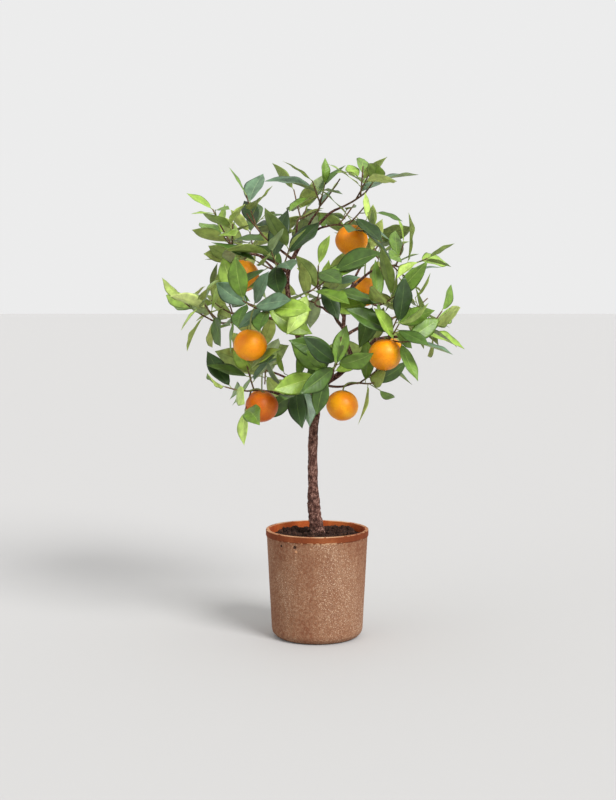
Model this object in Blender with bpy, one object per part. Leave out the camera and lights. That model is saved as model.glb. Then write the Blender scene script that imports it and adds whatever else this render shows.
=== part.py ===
# Potted navel orange tree: a small standard tree in a turned terracotta pot.
# Metres, +Z up, X to the right, Y away from the front. The origin is the middle of the pot's
# flat underside.
import math
import random
from collections import namedtuple

import bmesh
import bpy
from mathutils import Matrix, Vector
from mathutils.bvhtree import BVHTree

# Pot and soil
POT_HEIGHT = 0.264
POT_LIP_RADIUS = 0.1255
POT_LIP_HEIGHT = 0.016
POT_LIP_ROUND = 0.0015
POT_NECK_RADIUS = 0.1232
POT_FOOT_RADIUS = 0.1105
POT_FOOT_ROUND = 0.022
POT_WALL = 0.0075
POT_FLOOR = 0.014
POT_SIDES = 36
SOIL_LEVEL = 0.244

# Clearance between solids that touch on the real plant, and from leaves to other solids
GAP = 0.0003
LEAF_CLEARANCE = 0.0012

# Trunk: where its middle passes, from just under its flat cut at the soil, and how thick it is
# from the flare at its foot to its neck
TRUNK_WAY = ((0.006, 0.0, SOIL_LEVEL - 0.010), (-0.009, 0.0, 0.330), (-0.008, 0.0, 0.520), (0.022, 0.0, 0.628))
TRUNK_FLARE_RADIUS = 0.0168
TRUNK_FLARE_HEIGHT = 0.105
TRUNK_RADIUS = 0.0114
TRUNK_NECK_RADIUS = 0.0082
TRUNK_NECK_START = 0.70
TRUNK_SIDES = 12
TRUNK_RINGS = 14

# Limbs: what carries each and how far along it (0 foot, 1 tip), its own tip, how far its middle
# bows off the straight line, and its radius at both ends
RING_SPACING = 0.040
LIMB_SIDES = 6
LIMB_WANDER = 0.0022
Limb = namedtuple("Limb", "carrier along tip bow base_radius tip_radius")
LIMBS = {
    "leader_lower": Limb("trunk", 0.90, (-0.068, 0.040, 0.816), (-0.010, 0.004, 0.000), 0.0074, 0.0066),
    "leader_upper": Limb("leader_lower", 1.00, (-0.019, -0.010, 0.982), (-0.024, 0.012, 0.004), 0.0062, 0.0048),
    "crest_bough": Limb("leader_upper", 1.00, (0.061, -0.012, 1.044), (0.000, 0.000, 0.008), 0.0044, 0.0026),
    "crest_left_spur": Limb("leader_upper", 0.92, (-0.004, -0.022, 1.026), (-0.004, 0.000, 0.000), 0.0034, 0.0024),
    "top_front_spur": Limb("leader_upper", 0.90, (0.025, -0.050, 0.996), (0.000, 0.000, 0.005), 0.0034, 0.0024),
    "upper_left_bough": Limb("leader_upper", 0.42, (-0.177, -0.030, 0.931), (-0.004, 0.006, 0.014), 0.0044, 0.0026),
    "upper_left_spur": Limb("leader_upper", 0.62, (-0.119, -0.005, 0.965), (-0.002, 0.000, 0.003), 0.0034, 0.0024),
    "left_bough": Limb("leader_lower", 0.90, (-0.202, -0.070, 0.770), (-0.002, -0.006, 0.008), 0.0046, 0.0026),
    "front_left_bough": Limb("leader_lower", 0.95, (-0.115, -0.120, 0.808), (-0.006, 0.000, 0.004), 0.0042, 0.0026),
    "centre_left_spur": Limb("leader_upper", 0.30, (-0.082, -0.060, 0.878), (-0.004, 0.000, 0.002), 0.0034, 0.0024),
    "lower_left_bough": Limb("trunk", 0.70, (-0.131, -0.090, 0.608), (-0.004, 0.004, 0.016), 0.0046, 0.0028),
    "lower_centre_spur": Limb("trunk", 0.88, (-0.035, -0.050, 0.610), (-0.004, 0.000, 0.004), 0.0034, 0.0024),
    "right_bough": Limb("trunk", 1.00, (0.138, -0.080, 0.730), (0.002, 0.004, -0.006), 0.0074, 0.0048),
    "front_bough": Limb("right_bough", 0.12, (0.036, -0.100, 0.653), (0.000, 0.000, 0.006), 0.0038, 0.0026),
    "lower_right_bough": Limb("trunk", 0.96, (0.077, -0.060, 0.621), (0.002, 0.000, -0.004), 0.0034, 0.0024),
    "right_outer_bough": Limb("right_bough", 1.00, (0.218, -0.076, 0.732), (0.000, 0.000, 0.006), 0.0044, 0.0026),
    "right_low_spur": Limb("right_bough", 0.86, (0.148, -0.114, 0.724), (0.000, 0.000, 0.002), 0.0034, 0.0024),
    "right_upright": Limb("right_bough", 0.55, (0.079, 0.050, 0.847), (-0.018, 0.000, 0.000), 0.0056, 0.0042),
    "centre_bough": Limb("right_upright", 0.62, (0.010, -0.090, 0.840), (0.000, 0.004, 0.010), 0.0040, 0.0026),
    "right_mid_bough": Limb("right_upright", 0.94, (0.116, -0.030, 0.821), (0.004, 0.000, 0.004), 0.0036, 0.0024),
    "right_upper_bough": Limb("right_upright", 1.00, (0.159, 0.020, 0.901), (0.000, 0.000, 0.010), 0.0038, 0.0026),
    "back_crest_bough": Limb("leader_upper", 0.70, (-0.050, 0.090, 1.003), (0.000, 0.008, 0.004), 0.0038, 0.0026),
    "back_upper_left_bough": Limb("leader_upper", 0.20, (-0.137, 0.120, 0.925), (0.000, 0.006, 0.006), 0.0042, 0.0026),
    "back_left_bough": Limb("leader_lower", 0.72, (-0.178, 0.120, 0.781), (0.000, 0.008, 0.008), 0.0046, 0.0028),
    "back_low_left_bough": Limb("trunk", 0.82, (-0.113, 0.130, 0.640), (0.000, 0.006, 0.010), 0.0044, 0.0026),
    "back_centre_bough": Limb("right_upright", 0.45, (0.003, 0.180, 0.805), (0.000, 0.008, 0.010), 0.0046, 0.0028),
    "back_low_right_bough": Limb("right_bough", 0.25, (0.123, 0.120, 0.656), (0.000, 0.006, 0.006), 0.0044, 0.0026),
    "back_right_bough": Limb("right_upright", 0.35, (0.187, 0.110, 0.776), (0.000, 0.008, 0.008), 0.0044, 0.0026),
    "back_upper_right_bough": Limb("right_upright", 0.86, (0.123, 0.130, 0.926), (0.000, 0.008, 0.006), 0.0038, 0.0026),
}

# Masses of leaves: the limb whose tip carries each, the heart that its shoots spread from, the
# seed of its rule, and the middles of its oranges
Mass = namedtuple("Mass", "limb heart seed oranges")
MASSES = {
    "crest": Mass("crest_bough", (0.116, -0.015, 1.078), 1754, ()),
    "crest_left": Mass("crest_left_spur", (0.008, -0.030, 1.058), 250, ()),
    "top_front": Mass("top_front_spur", (0.069, -0.075, 0.994), 1585, ((0.080, -0.070, 0.962),)),
    "upper_left": Mass("upper_left_bough", (-0.210, -0.050, 0.963), 1062, ((-0.178, -0.020, 0.881),)),
    "upper_left_inner": Mass("upper_left_spur", (-0.147, -0.010, 0.998), 112, ()),
    "left": Mass("left_bough", (-0.251, -0.085, 0.775), 1676, ()),
    "front_left": Mass("front_left_bough", (-0.141, -0.170, 0.803), 141, ((-0.155, -0.170, 0.719),)),
    "centre_left": Mass("centre_left_spur", (-0.094, -0.120, 0.895), 1182, ()),
    "lower_left": Mass("lower_left_bough", (-0.165, -0.115, 0.609), 2606, ((-0.130, -0.130, 0.575),)),
    "lower_centre": Mass("lower_centre_spur", (-0.046, -0.090, 0.619), 1232, ()),
    "front": Mass("front_bough", (0.037, -0.160, 0.666), 485, ()),
    "lower_right": Mass("lower_right_bough", (0.105, -0.090, 0.626), 1587, ((0.059, -0.070, 0.572),)),
    "right_low": Mass("right_low_spur", (0.166, -0.142, 0.732), 2099, ((0.155, -0.150, 0.696),)),
    "right_outer": Mass("right_outer_bough", (0.251, -0.075, 0.741), 912, ()),
    "centre": Mass("centre_bough", (0.000, -0.170, 0.858), 1727, ()),
    "right_mid": Mass("right_mid_bough", (0.142, -0.090, 0.807), 1957, ()),
    "right_upper": Mass("right_upper_bough", (0.199, 0.000, 0.900), 2048, ()),
    "back_crest": Mass("back_crest_bough", (-0.035, 0.150, 1.026), 1145, ()),
    "back_upper_left": Mass("back_upper_left_bough", (-0.170, 0.180, 0.932), 2881, ((-0.187, 0.200, 0.878),)),
    "back_left": Mass("back_left_bough", (-0.223, 0.160, 0.790), 2692, ((-0.174, 0.150, 0.707),)),
    "back_low_left": Mass("back_low_left_bough", (-0.140, 0.180, 0.637), 1220, ((-0.141, 0.180, 0.556),)),
    "back_centre": Mass("back_centre_bough", (0.003, 0.250, 0.826), 2205, ()),
    "back_low_right": Mass("back_low_right_bough", (0.149, 0.180, 0.658), 2252, ()),
    "back_right": Mass("back_right_bough", (0.230, 0.150, 0.786), 880, ((0.182, 0.180, 0.690),)),
    "back_upper_right": Mass("back_upper_right_bough", (0.148, 0.180, 0.947), 1711, ((0.120, 0.150, 0.842),)),
}

# Growth inside a mass: the crown's middle, that shoots grow away from, and its top, that no leaf
# passes, the mass's reach from its heart, the straight collar at the foot of its stem, how its
# shoots leave the stem, and how their leaves are set round them
CROWN_MIDDLE = (-0.010, 0.0, 0.800)
CROWN_TOP = 1.178
MASS_REACH = 0.175
STEM_COLLAR = 0.004
SHOOTS = 3
SHOOT_LENGTH = 0.062
SHOOT_SPREAD = math.radians(62)
SHOOT_RISE = 0.35
SHOOT_OUTWARD = 0.35
SHOOT_RADIUS = 0.0021
TWIG_TIP_RADIUS = 0.0016
STEM_SIDES = 4
TWIG_SIDES = 3
LEAVES_A_SHOOT = 4
FIRST_LEAF = 0.30
LEAF_TURN = math.radians(137.5)
LOW_LEAF_TILT = math.radians(82)
TOP_LEAF_TILT = math.radians(34)

# Leaf: a pointed oval, arched, and thickest along its rib. Each section is its share of the
# length and its share of the full width.
LEAF_LENGTH = 0.120
LEAF_WIDTH = 0.41
LEAF_THICKNESS = 0.020
LEAF_SECTIONS = ((0.00, 0.08), (0.32, 0.92), (0.66, 0.86))

# Orange: a little wider than tall, hanging from a short stalk
ORANGE_RADIUS = 0.0382
ORANGE_HEIGHT = 0.95
ORANGE_STALK_SINK = 0.008


def bowed(start, tip, bow, steps, rng, wander):
    # A limb's middle: the straight line, pushed over by the bow, most at its halfway point, with
    # small seeded side-steps that die out at both ends.
    points = []
    for i in range(steps + 1):
        t = i / steps
        step = Vector([rng.uniform(-1, 1) for _ in range(3)])
        points.append(start.lerp(tip, t) + bow * 4 * t * (1 - t) + step * wander * math.sin(math.pi * t))
    return points


def bent(start, heading, tip, steps):
    # A twig's middle: a quadratic Bezier that leaves along its heading and ends at its tip.
    corner = start + heading * (tip - start).length * 0.45
    points = []
    for i in range(steps + 1):
        t = i / steps
        points.append(start * (1 - t) ** 2 + corner * 2 * t * (1 - t) + tip * t * t)
    return points


def place_along(points, along):
    # The point and the direction at a share of the way along a line of points.
    spot = along * (len(points) - 1)
    i = min(int(spot), len(points) - 2)
    ahead = (points[i + 1] - points[i]).normalized()
    return points[i].lerp(points[i + 1], spot - i), ahead


def across(direction, wanted):
    # The unit direction nearest to the wanted one that is square to the given direction.
    side = wanted - direction * wanted.dot(direction)
    if side.length < 1e-4:
        side = direction.orthogonal()
    return side.normalized()


def taper(base, tip, count):
    # Radii that shrink evenly from base to tip.
    return [base + (tip - base) * i / (count - 1) for i in range(count)]


def tube_rings(points, radii, sides, grow=0.0):
    # Rings of points round a line, carried along it without twist. Growing makes the tube fatter
    # and longer all round.
    points = [p.copy() for p in points]
    first = (points[1] - points[0]).normalized()
    last = (points[-1] - points[-2]).normalized()
    points[0] -= first * grow
    points[-1] += last * grow
    side = across(first, Vector((0, -1, 0.3)))
    rings = []
    for i, point in enumerate(points):
        before = points[max(i - 1, 0)]
        after = points[min(i + 1, len(points) - 1)]
        ahead = (after - before).normalized() if 0 < i < len(points) - 1 else (first if i == 0 else last)
        side = across(ahead, side)
        up = ahead.cross(side)
        ring = []
        for k in range(sides):
            turn = 2 * math.pi * k / sides
            ring.append(point + (side * math.cos(turn) + up * math.sin(turn)) * (radii[i] + grow))
        rings.append(ring)
    return rings


def lofted(rings, point=None):
    # Corners and faces of a solid skinned over its rings, flat at its start, and flat or drawn to
    # a point at its end.
    sides = len(rings[0])
    corners = [corner for ring in rings for corner in ring]
    faces = [tuple(reversed(range(sides)))]
    for i in range(len(rings) - 1):
        for k in range(sides):
            n = (k + 1) % sides
            a, b = i * sides, (i + 1) * sides
            faces.append((a + k, a + n, b + n, b + k))
    top = (len(rings) - 1) * sides
    if point is None:
        faces.append(tuple(range(top, top + sides)))
    else:
        corners.append(point)
        faces.extend((top + k, top + (k + 1) % sides, len(corners) - 1) for k in range(sides))
    return corners, faces


def trunk_line():
    # The trunk's middle: a Catmull-Rom curve through the places that it passes.
    way = [Vector(p) for p in TRUNK_WAY]
    way = [way[0] * 2 - way[1]] + way + [way[-1] * 2 - way[-2]]
    points = []
    for i in range(TRUNK_RINGS):
        spot = i / (TRUNK_RINGS - 1) * (len(TRUNK_WAY) - 1)
        k = min(int(spot), len(TRUNK_WAY) - 2)
        t = spot - k
        a, b, c, d = way[k:k + 4]
        points.append(0.5 * (2 * b + (c - a) * t + (2 * a - 5 * b + 4 * c - d) * t * t
                             + (3 * b - a - 3 * c + d) * t ** 3))
    return points


def trunk_radii(points):
    # The flare dies away with the square of the height, and the neck narrows evenly to the fork.
    foot = points[0].z
    span = points[-1].z - foot
    radii = []
    for point in points:
        height = point.z - foot
        neck = max(0.0, height / span - TRUNK_NECK_START) / (1 - TRUNK_NECK_START)
        flare = math.exp(-((height / TRUNK_FLARE_HEIGHT) ** 2))
        radii.append(TRUNK_RADIUS + (TRUNK_NECK_RADIUS - TRUNK_RADIUS) * neck
                     + (TRUNK_FLARE_RADIUS - TRUNK_RADIUS) * flare)
    return radii


def limb_lines():
    # The middle line and radii of the trunk and of every limb, each grown from its carrier.
    lines = {"trunk": (trunk_line(), None)}
    lines["trunk"] = (lines["trunk"][0], trunk_radii(lines["trunk"][0]))
    for name, limb in LIMBS.items():
        start, ahead = place_along(lines[limb.carrier][0], limb.along)
        if limb.along == 1:
            start = start - ahead * limb.base_radius
        tip = Vector(limb.tip)
        steps = max(3, round((tip - start).length / RING_SPACING))
        points = bowed(start, tip, Vector(limb.bow), steps, random.Random(name), LIMB_WANDER)
        lines[name] = (points, taper(limb.base_radius, limb.tip_radius, steps + 1))
    return lines


def shoot_lines(mass, start, heading, rng):
    # The stem, from its limb's tip to the heart, and the shoots that spread from it: the first goes
    # on ahead, and the others turn off to alternate sides, all rising and drawn out of the crown.
    heart = Vector(mass.heart)
    collar = start + heading * STEM_COLLAR
    stem = [start] + bent(collar, heading, heart, 3)
    outward = (heart - Vector(CROWN_MIDDLE)).normalized()
    turn = rng.uniform(0, 2 * math.pi)
    shoots = []
    for k in range(SHOOTS):
        root, ahead = place_along(stem, 0.97 - 0.16 * k)
        spread = SHOOT_SPREAD * (rng.uniform(0.75, 1.25) if k else rng.uniform(0.0, 0.4))
        turn += LEAF_TURN + rng.uniform(-0.4, 0.4)
        side = Matrix.Rotation(turn, 3, ahead) @ across(ahead, Vector((0, 0, 1)))
        way = ahead * math.cos(spread) + side * math.sin(spread)
        way = (way + Vector((0, 0, SHOOT_RISE)) + outward * SHOOT_OUTWARD).normalized()
        length = SHOOT_LENGTH * rng.uniform(0.7, 1.3)
        lift = Vector((0, 0, 0.15 * length))
        shoots.append(bent(root, way, root + way * length + lift, 2))
    return stem, shoots, outward


Leaf = namedtuple("Leaf", "shoot root along face length width arch")


def shoot_leaves(number, shoot, outward, rng):
    # The leaves of one shoot, set round it by a fixed turn from leaf to leaf. The lowest stand
    # well out, the topmost close round the tip, and each turns its face up and out to the light.
    leaves = []
    turn = rng.uniform(0, 2 * math.pi)
    for j in range(LEAVES_A_SHOOT):
        share = j / (LEAVES_A_SHOOT - 1)
        root, ahead = place_along(shoot, FIRST_LEAF + (0.94 - FIRST_LEAF) * share)
        turn += LEAF_TURN + rng.uniform(-0.35, 0.35)
        tilt = LOW_LEAF_TILT + (TOP_LEAF_TILT - LOW_LEAF_TILT) * share + rng.uniform(-0.2, 0.2)
        side = Matrix.Rotation(turn, 3, ahead) @ across(ahead, Vector((0, 0, 1)))
        along = (ahead * math.cos(tilt) + side * math.sin(tilt)).normalized()
        light = Vector([rng.uniform(-0.55, 0.55) for _ in range(3)]) + outward + Vector((0, 0, 0.8))
        length = LEAF_LENGTH * rng.uniform(0.80, 1.14)
        width = length * LEAF_WIDTH * rng.uniform(0.88, 1.12)
        leaves.append(Leaf(number, root, along, across(along, light), length, width, rng.uniform(0.02, 0.20)))
    return leaves


def grow(mass, start, heading):
    # The rule of one mass: its stem, its shoots, and every leaf that they would carry.
    rng = random.Random(mass.seed)
    stem, shoots, outward = shoot_lines(mass, start, heading, rng)
    leaves = [leaf for k, shoot in enumerate(shoots) for leaf in shoot_leaves(k, shoot, outward, rng)]
    return stem, shoots, leaves


def leaf_middle(leaf, share):
    # A point on the leaf's rib: straight ahead, falling away from its face with the square.
    return leaf.root + leaf.along * leaf.length * share - leaf.face * leaf.arch * leaf.length * share * share


def leaf_solid(leaf, grow_by=0.0, first=0):
    # A three-cornered section at the root, before and behind the widest place, drawn to a point
    # at the tip: two edges level with the face, and the rib under them.
    side = leaf.along.cross(leaf.face)
    thick = leaf.length * LEAF_THICKNESS + grow_by
    rings = []
    for share, wide in LEAF_SECTIONS[first:]:
        middle = leaf_middle(leaf, share)
        half = side * (wide * leaf.width / 2 + grow_by)
        upper = middle + leaf.face * grow_by
        rings.append([upper - half, middle - leaf.face * thick, upper + half])
    return lofted(rings, leaf_middle(leaf, 1.0) + leaf.along * grow_by)


def mesh_object(name, corners, faces):
    mesh = bpy.data.meshes.new(name)
    mesh.from_pydata([tuple(c) for c in corners], [], faces)
    mesh.validate()
    obj = bpy.data.objects.new(name, mesh)
    bpy.context.scene.collection.objects.link(obj)
    return obj


def face_out(obj):
    # Turns every face of a closed mesh outwards.
    mesh = bmesh.new()
    mesh.from_mesh(obj.data)
    bmesh.ops.recalc_face_normals(mesh, faces=mesh.faces)
    mesh.to_mesh(obj.data)
    mesh.free()
    return obj


def tube(name, points, radii, sides, grow_by=0.0):
    return face_out(mesh_object(name, *lofted(tube_rings(points, radii, sides, grow_by))))


def orange(name, middle):
    mesh = bmesh.new()
    bmesh.ops.create_uvsphere(mesh, u_segments=10, v_segments=7, radius=ORANGE_RADIUS)
    bmesh.ops.scale(mesh, vec=(1, 1, ORANGE_HEIGHT), verts=mesh.verts)
    bmesh.ops.translate(mesh, vec=middle, verts=mesh.verts)
    data = bpy.data.meshes.new(name)
    mesh.to_mesh(data)
    mesh.free()
    obj = bpy.data.objects.new(name, data)
    bpy.context.scene.collection.objects.link(obj)
    return obj


def tree_of(corners, faces):
    return BVHTree.FromPolygons([tuple(c) for c in corners], faces)


def tree_of_object(obj):
    return tree_of([v.co for v in obj.data.vertices], [tuple(p.vertices) for p in obj.data.polygons])


def apply_boolean(obj, operation, solver, other=None, collection=None):
    # Joins or cuts by one object, or joins every object of a collection, and applies the result.
    modifier = obj.modifiers.new(operation, "BOOLEAN")
    modifier.operation = operation
    modifier.solver = solver
    if collection:
        modifier.operand_type = "COLLECTION"
        modifier.collection = collection
    else:
        modifier.object = other
    bpy.context.view_layer.update()
    shape = obj.evaluated_get(bpy.context.evaluated_depsgraph_get())
    result = bpy.data.meshes.new_from_object(shape)
    obj.modifiers.clear()
    return result


def closed(mesh):
    # True where every edge has a face on both sides.
    check = bmesh.new()
    check.from_mesh(mesh)
    whole = len(check.faces) > 0 and all(edge.is_manifold for edge in check.edges)
    check.free()
    return whole


def main_body(mesh):
    # Keeps the largest connected body, so that scraps go and sealed hollows are filled.
    work = bmesh.new()
    work.from_mesh(mesh)
    left = set(work.verts)
    bodies = []
    while left:
        front = [left.pop()]
        body = set(front)
        while front:
            corner = front.pop()
            fresh = [v for v in (e.other_vert(corner) for e in corner.link_edges) if v in left]
            left.difference_update(fresh)
            body.update(fresh)
            front.extend(fresh)
        bodies.append(body)
    keep = max(bodies, key=len)
    bmesh.ops.delete(work, geom=[v for v in work.verts if v not in keep], context="VERTS")
    work.to_mesh(mesh)
    work.free()
    return mesh


def join(base, pieces):
    # One Boolean union of the base with all its pieces, which are then removed.
    group = bpy.data.collections.new(base.name + "_pieces")
    bpy.context.scene.collection.children.link(group)
    for piece in pieces:
        bpy.context.scene.collection.objects.unlink(piece)
        group.objects.link(piece)
    for solver in ("EXACT", "MANIFOLD"):
        joined = main_body(apply_boolean(base, "UNION", solver, collection=group))
        if closed(joined):
            break
    for piece in pieces:
        bpy.data.objects.remove(piece)
    bpy.data.collections.remove(group)
    base.data = joined
    return base


def paint(obj, colour, roughness):
    # A plain finish in the part's own colour, given as screen red, green and blue.
    material = bpy.data.materials.new(obj.name)
    material.use_nodes = True
    finish = material.node_tree.nodes["Principled BSDF"]
    linear = [(c / 255) ** 2.2 for c in colour]
    finish.inputs["Base Color"].default_value = (*linear, 1)
    finish.inputs["Roughness"].default_value = roughness
    finish.inputs["Metallic"].default_value = 0.0
    obj.data.materials.clear()
    obj.data.materials.append(material)
    for face in obj.data.polygons:
        face.material_index = 0
    return obj


def turned(name, profile):
    # A solid turned round the Z axis from a profile of (radius, height) that starts and ends on it.
    mesh = bmesh.new()
    corners = [mesh.verts.new((radius, 0, height)) for radius, height in profile]
    edges = [mesh.edges.new(pair) for pair in zip(corners, corners[1:])]
    bmesh.ops.spin(mesh, geom=corners + edges, cent=(0, 0, 0), axis=(0, 0, 1),
                   angle=2 * math.pi, steps=POT_SIDES, use_merge=True)
    bmesh.ops.remove_doubles(mesh, verts=mesh.verts, dist=1e-6)
    bmesh.ops.recalc_face_normals(mesh, faces=mesh.faces)
    data = bpy.data.meshes.new(name)
    mesh.to_mesh(data)
    mesh.free()
    obj = bpy.data.objects.new(name, data)
    bpy.context.scene.collection.objects.link(obj)
    obj.data.shade_smooth()
    obj.data.set_sharp_from_angle(angle=math.radians(40))
    return obj


def arc(middle_radius, middle_height, radius, first, last, steps):
    # Profile points round an arc, between two angles in degrees.
    points = []
    for i in range(steps + 1):
        turn = math.radians(first + (last - first) * i / steps)
        points.append((middle_radius + radius * math.cos(turn), middle_height + radius * math.sin(turn)))
    return points


def inner_radius(height):
    # The pot's wall leans out evenly from foot to neck, and its inside follows the outside.
    lean = (POT_NECK_RADIUS - POT_FOOT_RADIUS) / (POT_HEIGHT - POT_LIP_HEIGHT)
    return POT_FOOT_RADIUS + lean * height - POT_WALL


def make_pot():
    # Flat underside, rounded foot, straight leaning wall, a lip that stands proud with a soft
    # upper edge, and an inside that follows the wall down to the floor.
    foot_middle = POT_FOOT_RADIUS - POT_FOOT_ROUND + 0.0012
    lip_foot = POT_HEIGHT - POT_LIP_HEIGHT
    lip_inside = inner_radius(POT_HEIGHT)
    profile = [(0.0, 0.0)]
    profile += arc(foot_middle, POT_FOOT_ROUND, POT_FOOT_ROUND, -90, 3, 4)
    profile += [(POT_NECK_RADIUS, lip_foot), (POT_LIP_RADIUS, lip_foot + POT_LIP_ROUND)]
    profile += arc(POT_LIP_RADIUS - POT_LIP_ROUND, POT_HEIGHT - POT_LIP_ROUND, POT_LIP_ROUND, 0, 90, 2)
    profile += arc(lip_inside + POT_LIP_ROUND, POT_HEIGHT - POT_LIP_ROUND, POT_LIP_ROUND, 90, 180, 2)
    profile += [(inner_radius(POT_FLOOR + POT_FOOT_ROUND), POT_FLOOR + POT_FOOT_ROUND / 2)]
    profile += [(inner_radius(0) - POT_FOOT_ROUND / 2, POT_FLOOR), (0.0, POT_FLOOR)]
    return paint(turned("pot", profile), (165, 120, 92), 0.85)


def make_soil():
    # Fills the pot's inside up to its own level, clear of the wall all round.
    foot = POT_FLOOR + POT_FOOT_ROUND / 2
    profile = [
        (0.0, POT_FLOOR + GAP),
        (inner_radius(0) - POT_FOOT_ROUND / 2 - GAP, POT_FLOOR + GAP),
        (inner_radius(POT_FLOOR + POT_FOOT_ROUND) - 2 * GAP, foot),
        (inner_radius(SOIL_LEVEL) - 2 * GAP, SOIL_LEVEL),
        (0.0, SOIL_LEVEL),
    ]
    return paint(turned("soil", profile), (62, 38, 29), 0.95)


def cut_flat(obj, height):
    # Cuts off all that lies below a height and closes the cut with one flat face.
    mesh = bmesh.new()
    mesh.from_mesh(obj.data)
    geometry = mesh.verts[:] + mesh.edges[:] + mesh.faces[:]
    bmesh.ops.bisect_plane(mesh, geom=geometry, plane_co=(0, 0, height), plane_no=(0, 0, 1), clear_inner=True)
    bmesh.ops.contextual_create(mesh, geom=[edge for edge in mesh.edges if edge.is_boundary])
    mesh.to_mesh(obj.data)
    mesh.free()
    return face_out(obj)


def sides_of(name):
    return TRUNK_SIDES if name == "trunk" else LIMB_SIDES


def make_limbs(lines):
    # The trunk, then each limb as a tapering tube whose foot is cut to sit on its carrier, a
    # gap's width clear of it and of any other limb that it passes.
    done = []
    for name, (points, radii) in lines.items():
        obj = tube(name, points, radii, sides_of(name))
        if name == "trunk":
            cut_flat(obj, SOIL_LEVEL + GAP)
        tree = tree_of_object(obj)
        for other in done:
            cutter = tube("cutter", *lines[other], sides_of(other), GAP)
            if tree.overlap(tree_of_object(cutter)):
                obj.data = main_body(apply_boolean(obj, "DIFFERENCE", "EXACT", other=cutter))
            bpy.data.objects.remove(cutter)
        done.append(name)
        obj.data.shade_smooth()
        obj.data.set_sharp_from_angle(angle=math.radians(60))
        paint(obj, (92, 60, 50), 0.9)


def stalk_line(stem, middle):
    # An orange's stalk: from the stem's end out and over, then straight down into the fruit.
    top = middle + Vector((0, 0, ORANGE_RADIUS * ORANGE_HEIGHT - ORANGE_STALK_SINK))
    root = place_along(stem, 0.9)[0]
    over = Vector((top.x, top.y, max(top.z + 0.02, root.z + 0.008)))
    points = []
    for i in range(4):
        t = i / 3
        points.append(root * (1 - t) ** 2 + over * 2 * t * (1 - t) + top * t * t)
    return points


def twig_radii(points):
    return taper(SHOOT_RADIUS, TWIG_TIP_RADIUS, len(points))


def wood_tree(points, radii, sides):
    # A limb or twig made fatter by the clearance, to test what comes near it.
    return tree_of(*lofted(tube_rings(points, radii, sides, LEAF_CLEARANCE)))


def orange_tree(middle):
    obj = orange("orange", middle)
    tree = tree_of_object(obj)
    bpy.data.objects.remove(obj)
    return tree


class Spray:
    # One mass as it grows: its stem, stalks, shoots and leaves, and the trees of what it fills.
    def __init__(self, mass, lines):
        points, radii = lines[mass.limb]
        heading = (points[-1] - points[-2]).normalized()
        self.heart = Vector(mass.heart)
        self.stem, self.shoots, self.leaves = grow(mass, points[-1] + heading * GAP, heading)
        self.stem_radii = taper(radii[-1], SHOOT_RADIUS, len(self.stem))
        self.oranges = [Vector(middle) for middle in mass.oranges]
        self.stalks = [stalk_line(self.stem, middle) for middle in self.oranges]
        self.skins = [orange_tree(middle) for middle in self.oranges]
        self.trees = [wood_tree(self.stem, self.stem_radii, STEM_SIDES)] + self.skins
        self.trees += [wood_tree(stalk, twig_radii(stalk), TWIG_SIDES) for stalk in self.stalks]

    def keep_shoots(self, taken):
        # A shoot that would touch a limb or another mass is left out with its leaves.
        kept = {}
        for number, shoot in enumerate(self.shoots):
            tree = wood_tree(shoot, twig_radii(shoot), TWIG_SIDES)
            if not any(tree.overlap(other) for other in taken):
                kept[number] = shoot
                self.trees.append(tree)
        self.shoots = list(kept.values())
        self.leaves = [leaf for leaf in self.leaves if leaf.shoot in kept]

    def keep_leaves(self, taken, other_hearts):
        # Leaves that stay in the mass's own space, the tip within reach of the heart and the
        # middle nearer to this heart than to any other, and clear of limbs, oranges and other
        # masses. A blade that would cut through a blade already kept is left out too.
        kept = []
        blades = []
        for leaf in self.leaves:
            middle = leaf_middle(leaf, 0.5)
            own = (middle - self.heart).length
            tip = leaf_middle(leaf, 1.0)
            if (tip - self.heart).length > MASS_REACH or tip.z > CROWN_TOP:
                continue
            if any((middle - other).length < own for other in other_hearts):
                continue
            shape = tree_of(*leaf_solid(leaf, LEAF_CLEARANCE))
            blade = tree_of(*leaf_solid(leaf, 0.0, 1))
            if any(shape.overlap(tree) for tree in taken + self.skins):
                continue
            if any(blade.overlap(tree) for tree in blades):
                continue
            kept.append(leaf)
            blades.append(blade)
            self.trees.append(tree_of(*leaf_solid(leaf)))
        self.leaves = kept

    def build(self, name):
        obj = tube(name, self.stem, self.stem_radii, STEM_SIDES)
        pieces = [tube("twig", line, twig_radii(line), TWIG_SIDES) for line in self.shoots + self.stalks]
        pieces += [orange("orange", middle) for middle in self.oranges]
        pieces += [face_out(mesh_object("leaf", *leaf_solid(leaf))) for leaf in self.leaves]
        paint(join(obj, pieces), (104, 124, 60), 0.55)


def make_masses(lines):
    # Every mass is grown first, then its shoots and leaves are thinned against the limbs and
    # against all the other masses, one mass after another.
    limbs = [wood_tree(points, radii, TRUNK_SIDES) for points, radii in lines.values()]
    sprays = {name: Spray(mass, lines) for name, mass in MASSES.items()}
    for name, spray in sprays.items():
        spray.keep_shoots(limbs + [tree for other, s in sprays.items() if other != name for tree in s.trees])
    for name, spray in sprays.items():
        others = [s for other, s in sprays.items() if other != name]
        spray.keep_leaves(limbs + [tree for s in others for tree in s.trees], [s.heart for s in others])
    for name, spray in sprays.items():
        spray.build(name)


def main():
    for obj in list(bpy.data.objects):
        bpy.data.objects.remove(obj)
    make_pot()
    make_soil()
    lines = limb_lines()
    make_limbs(lines)
    make_masses(lines)


if __name__ == "__main__":
    main()
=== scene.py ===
import math
import random
from types import SimpleNamespace

import bpy
import numpy as np
from mathutils import Matrix, Vector


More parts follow.
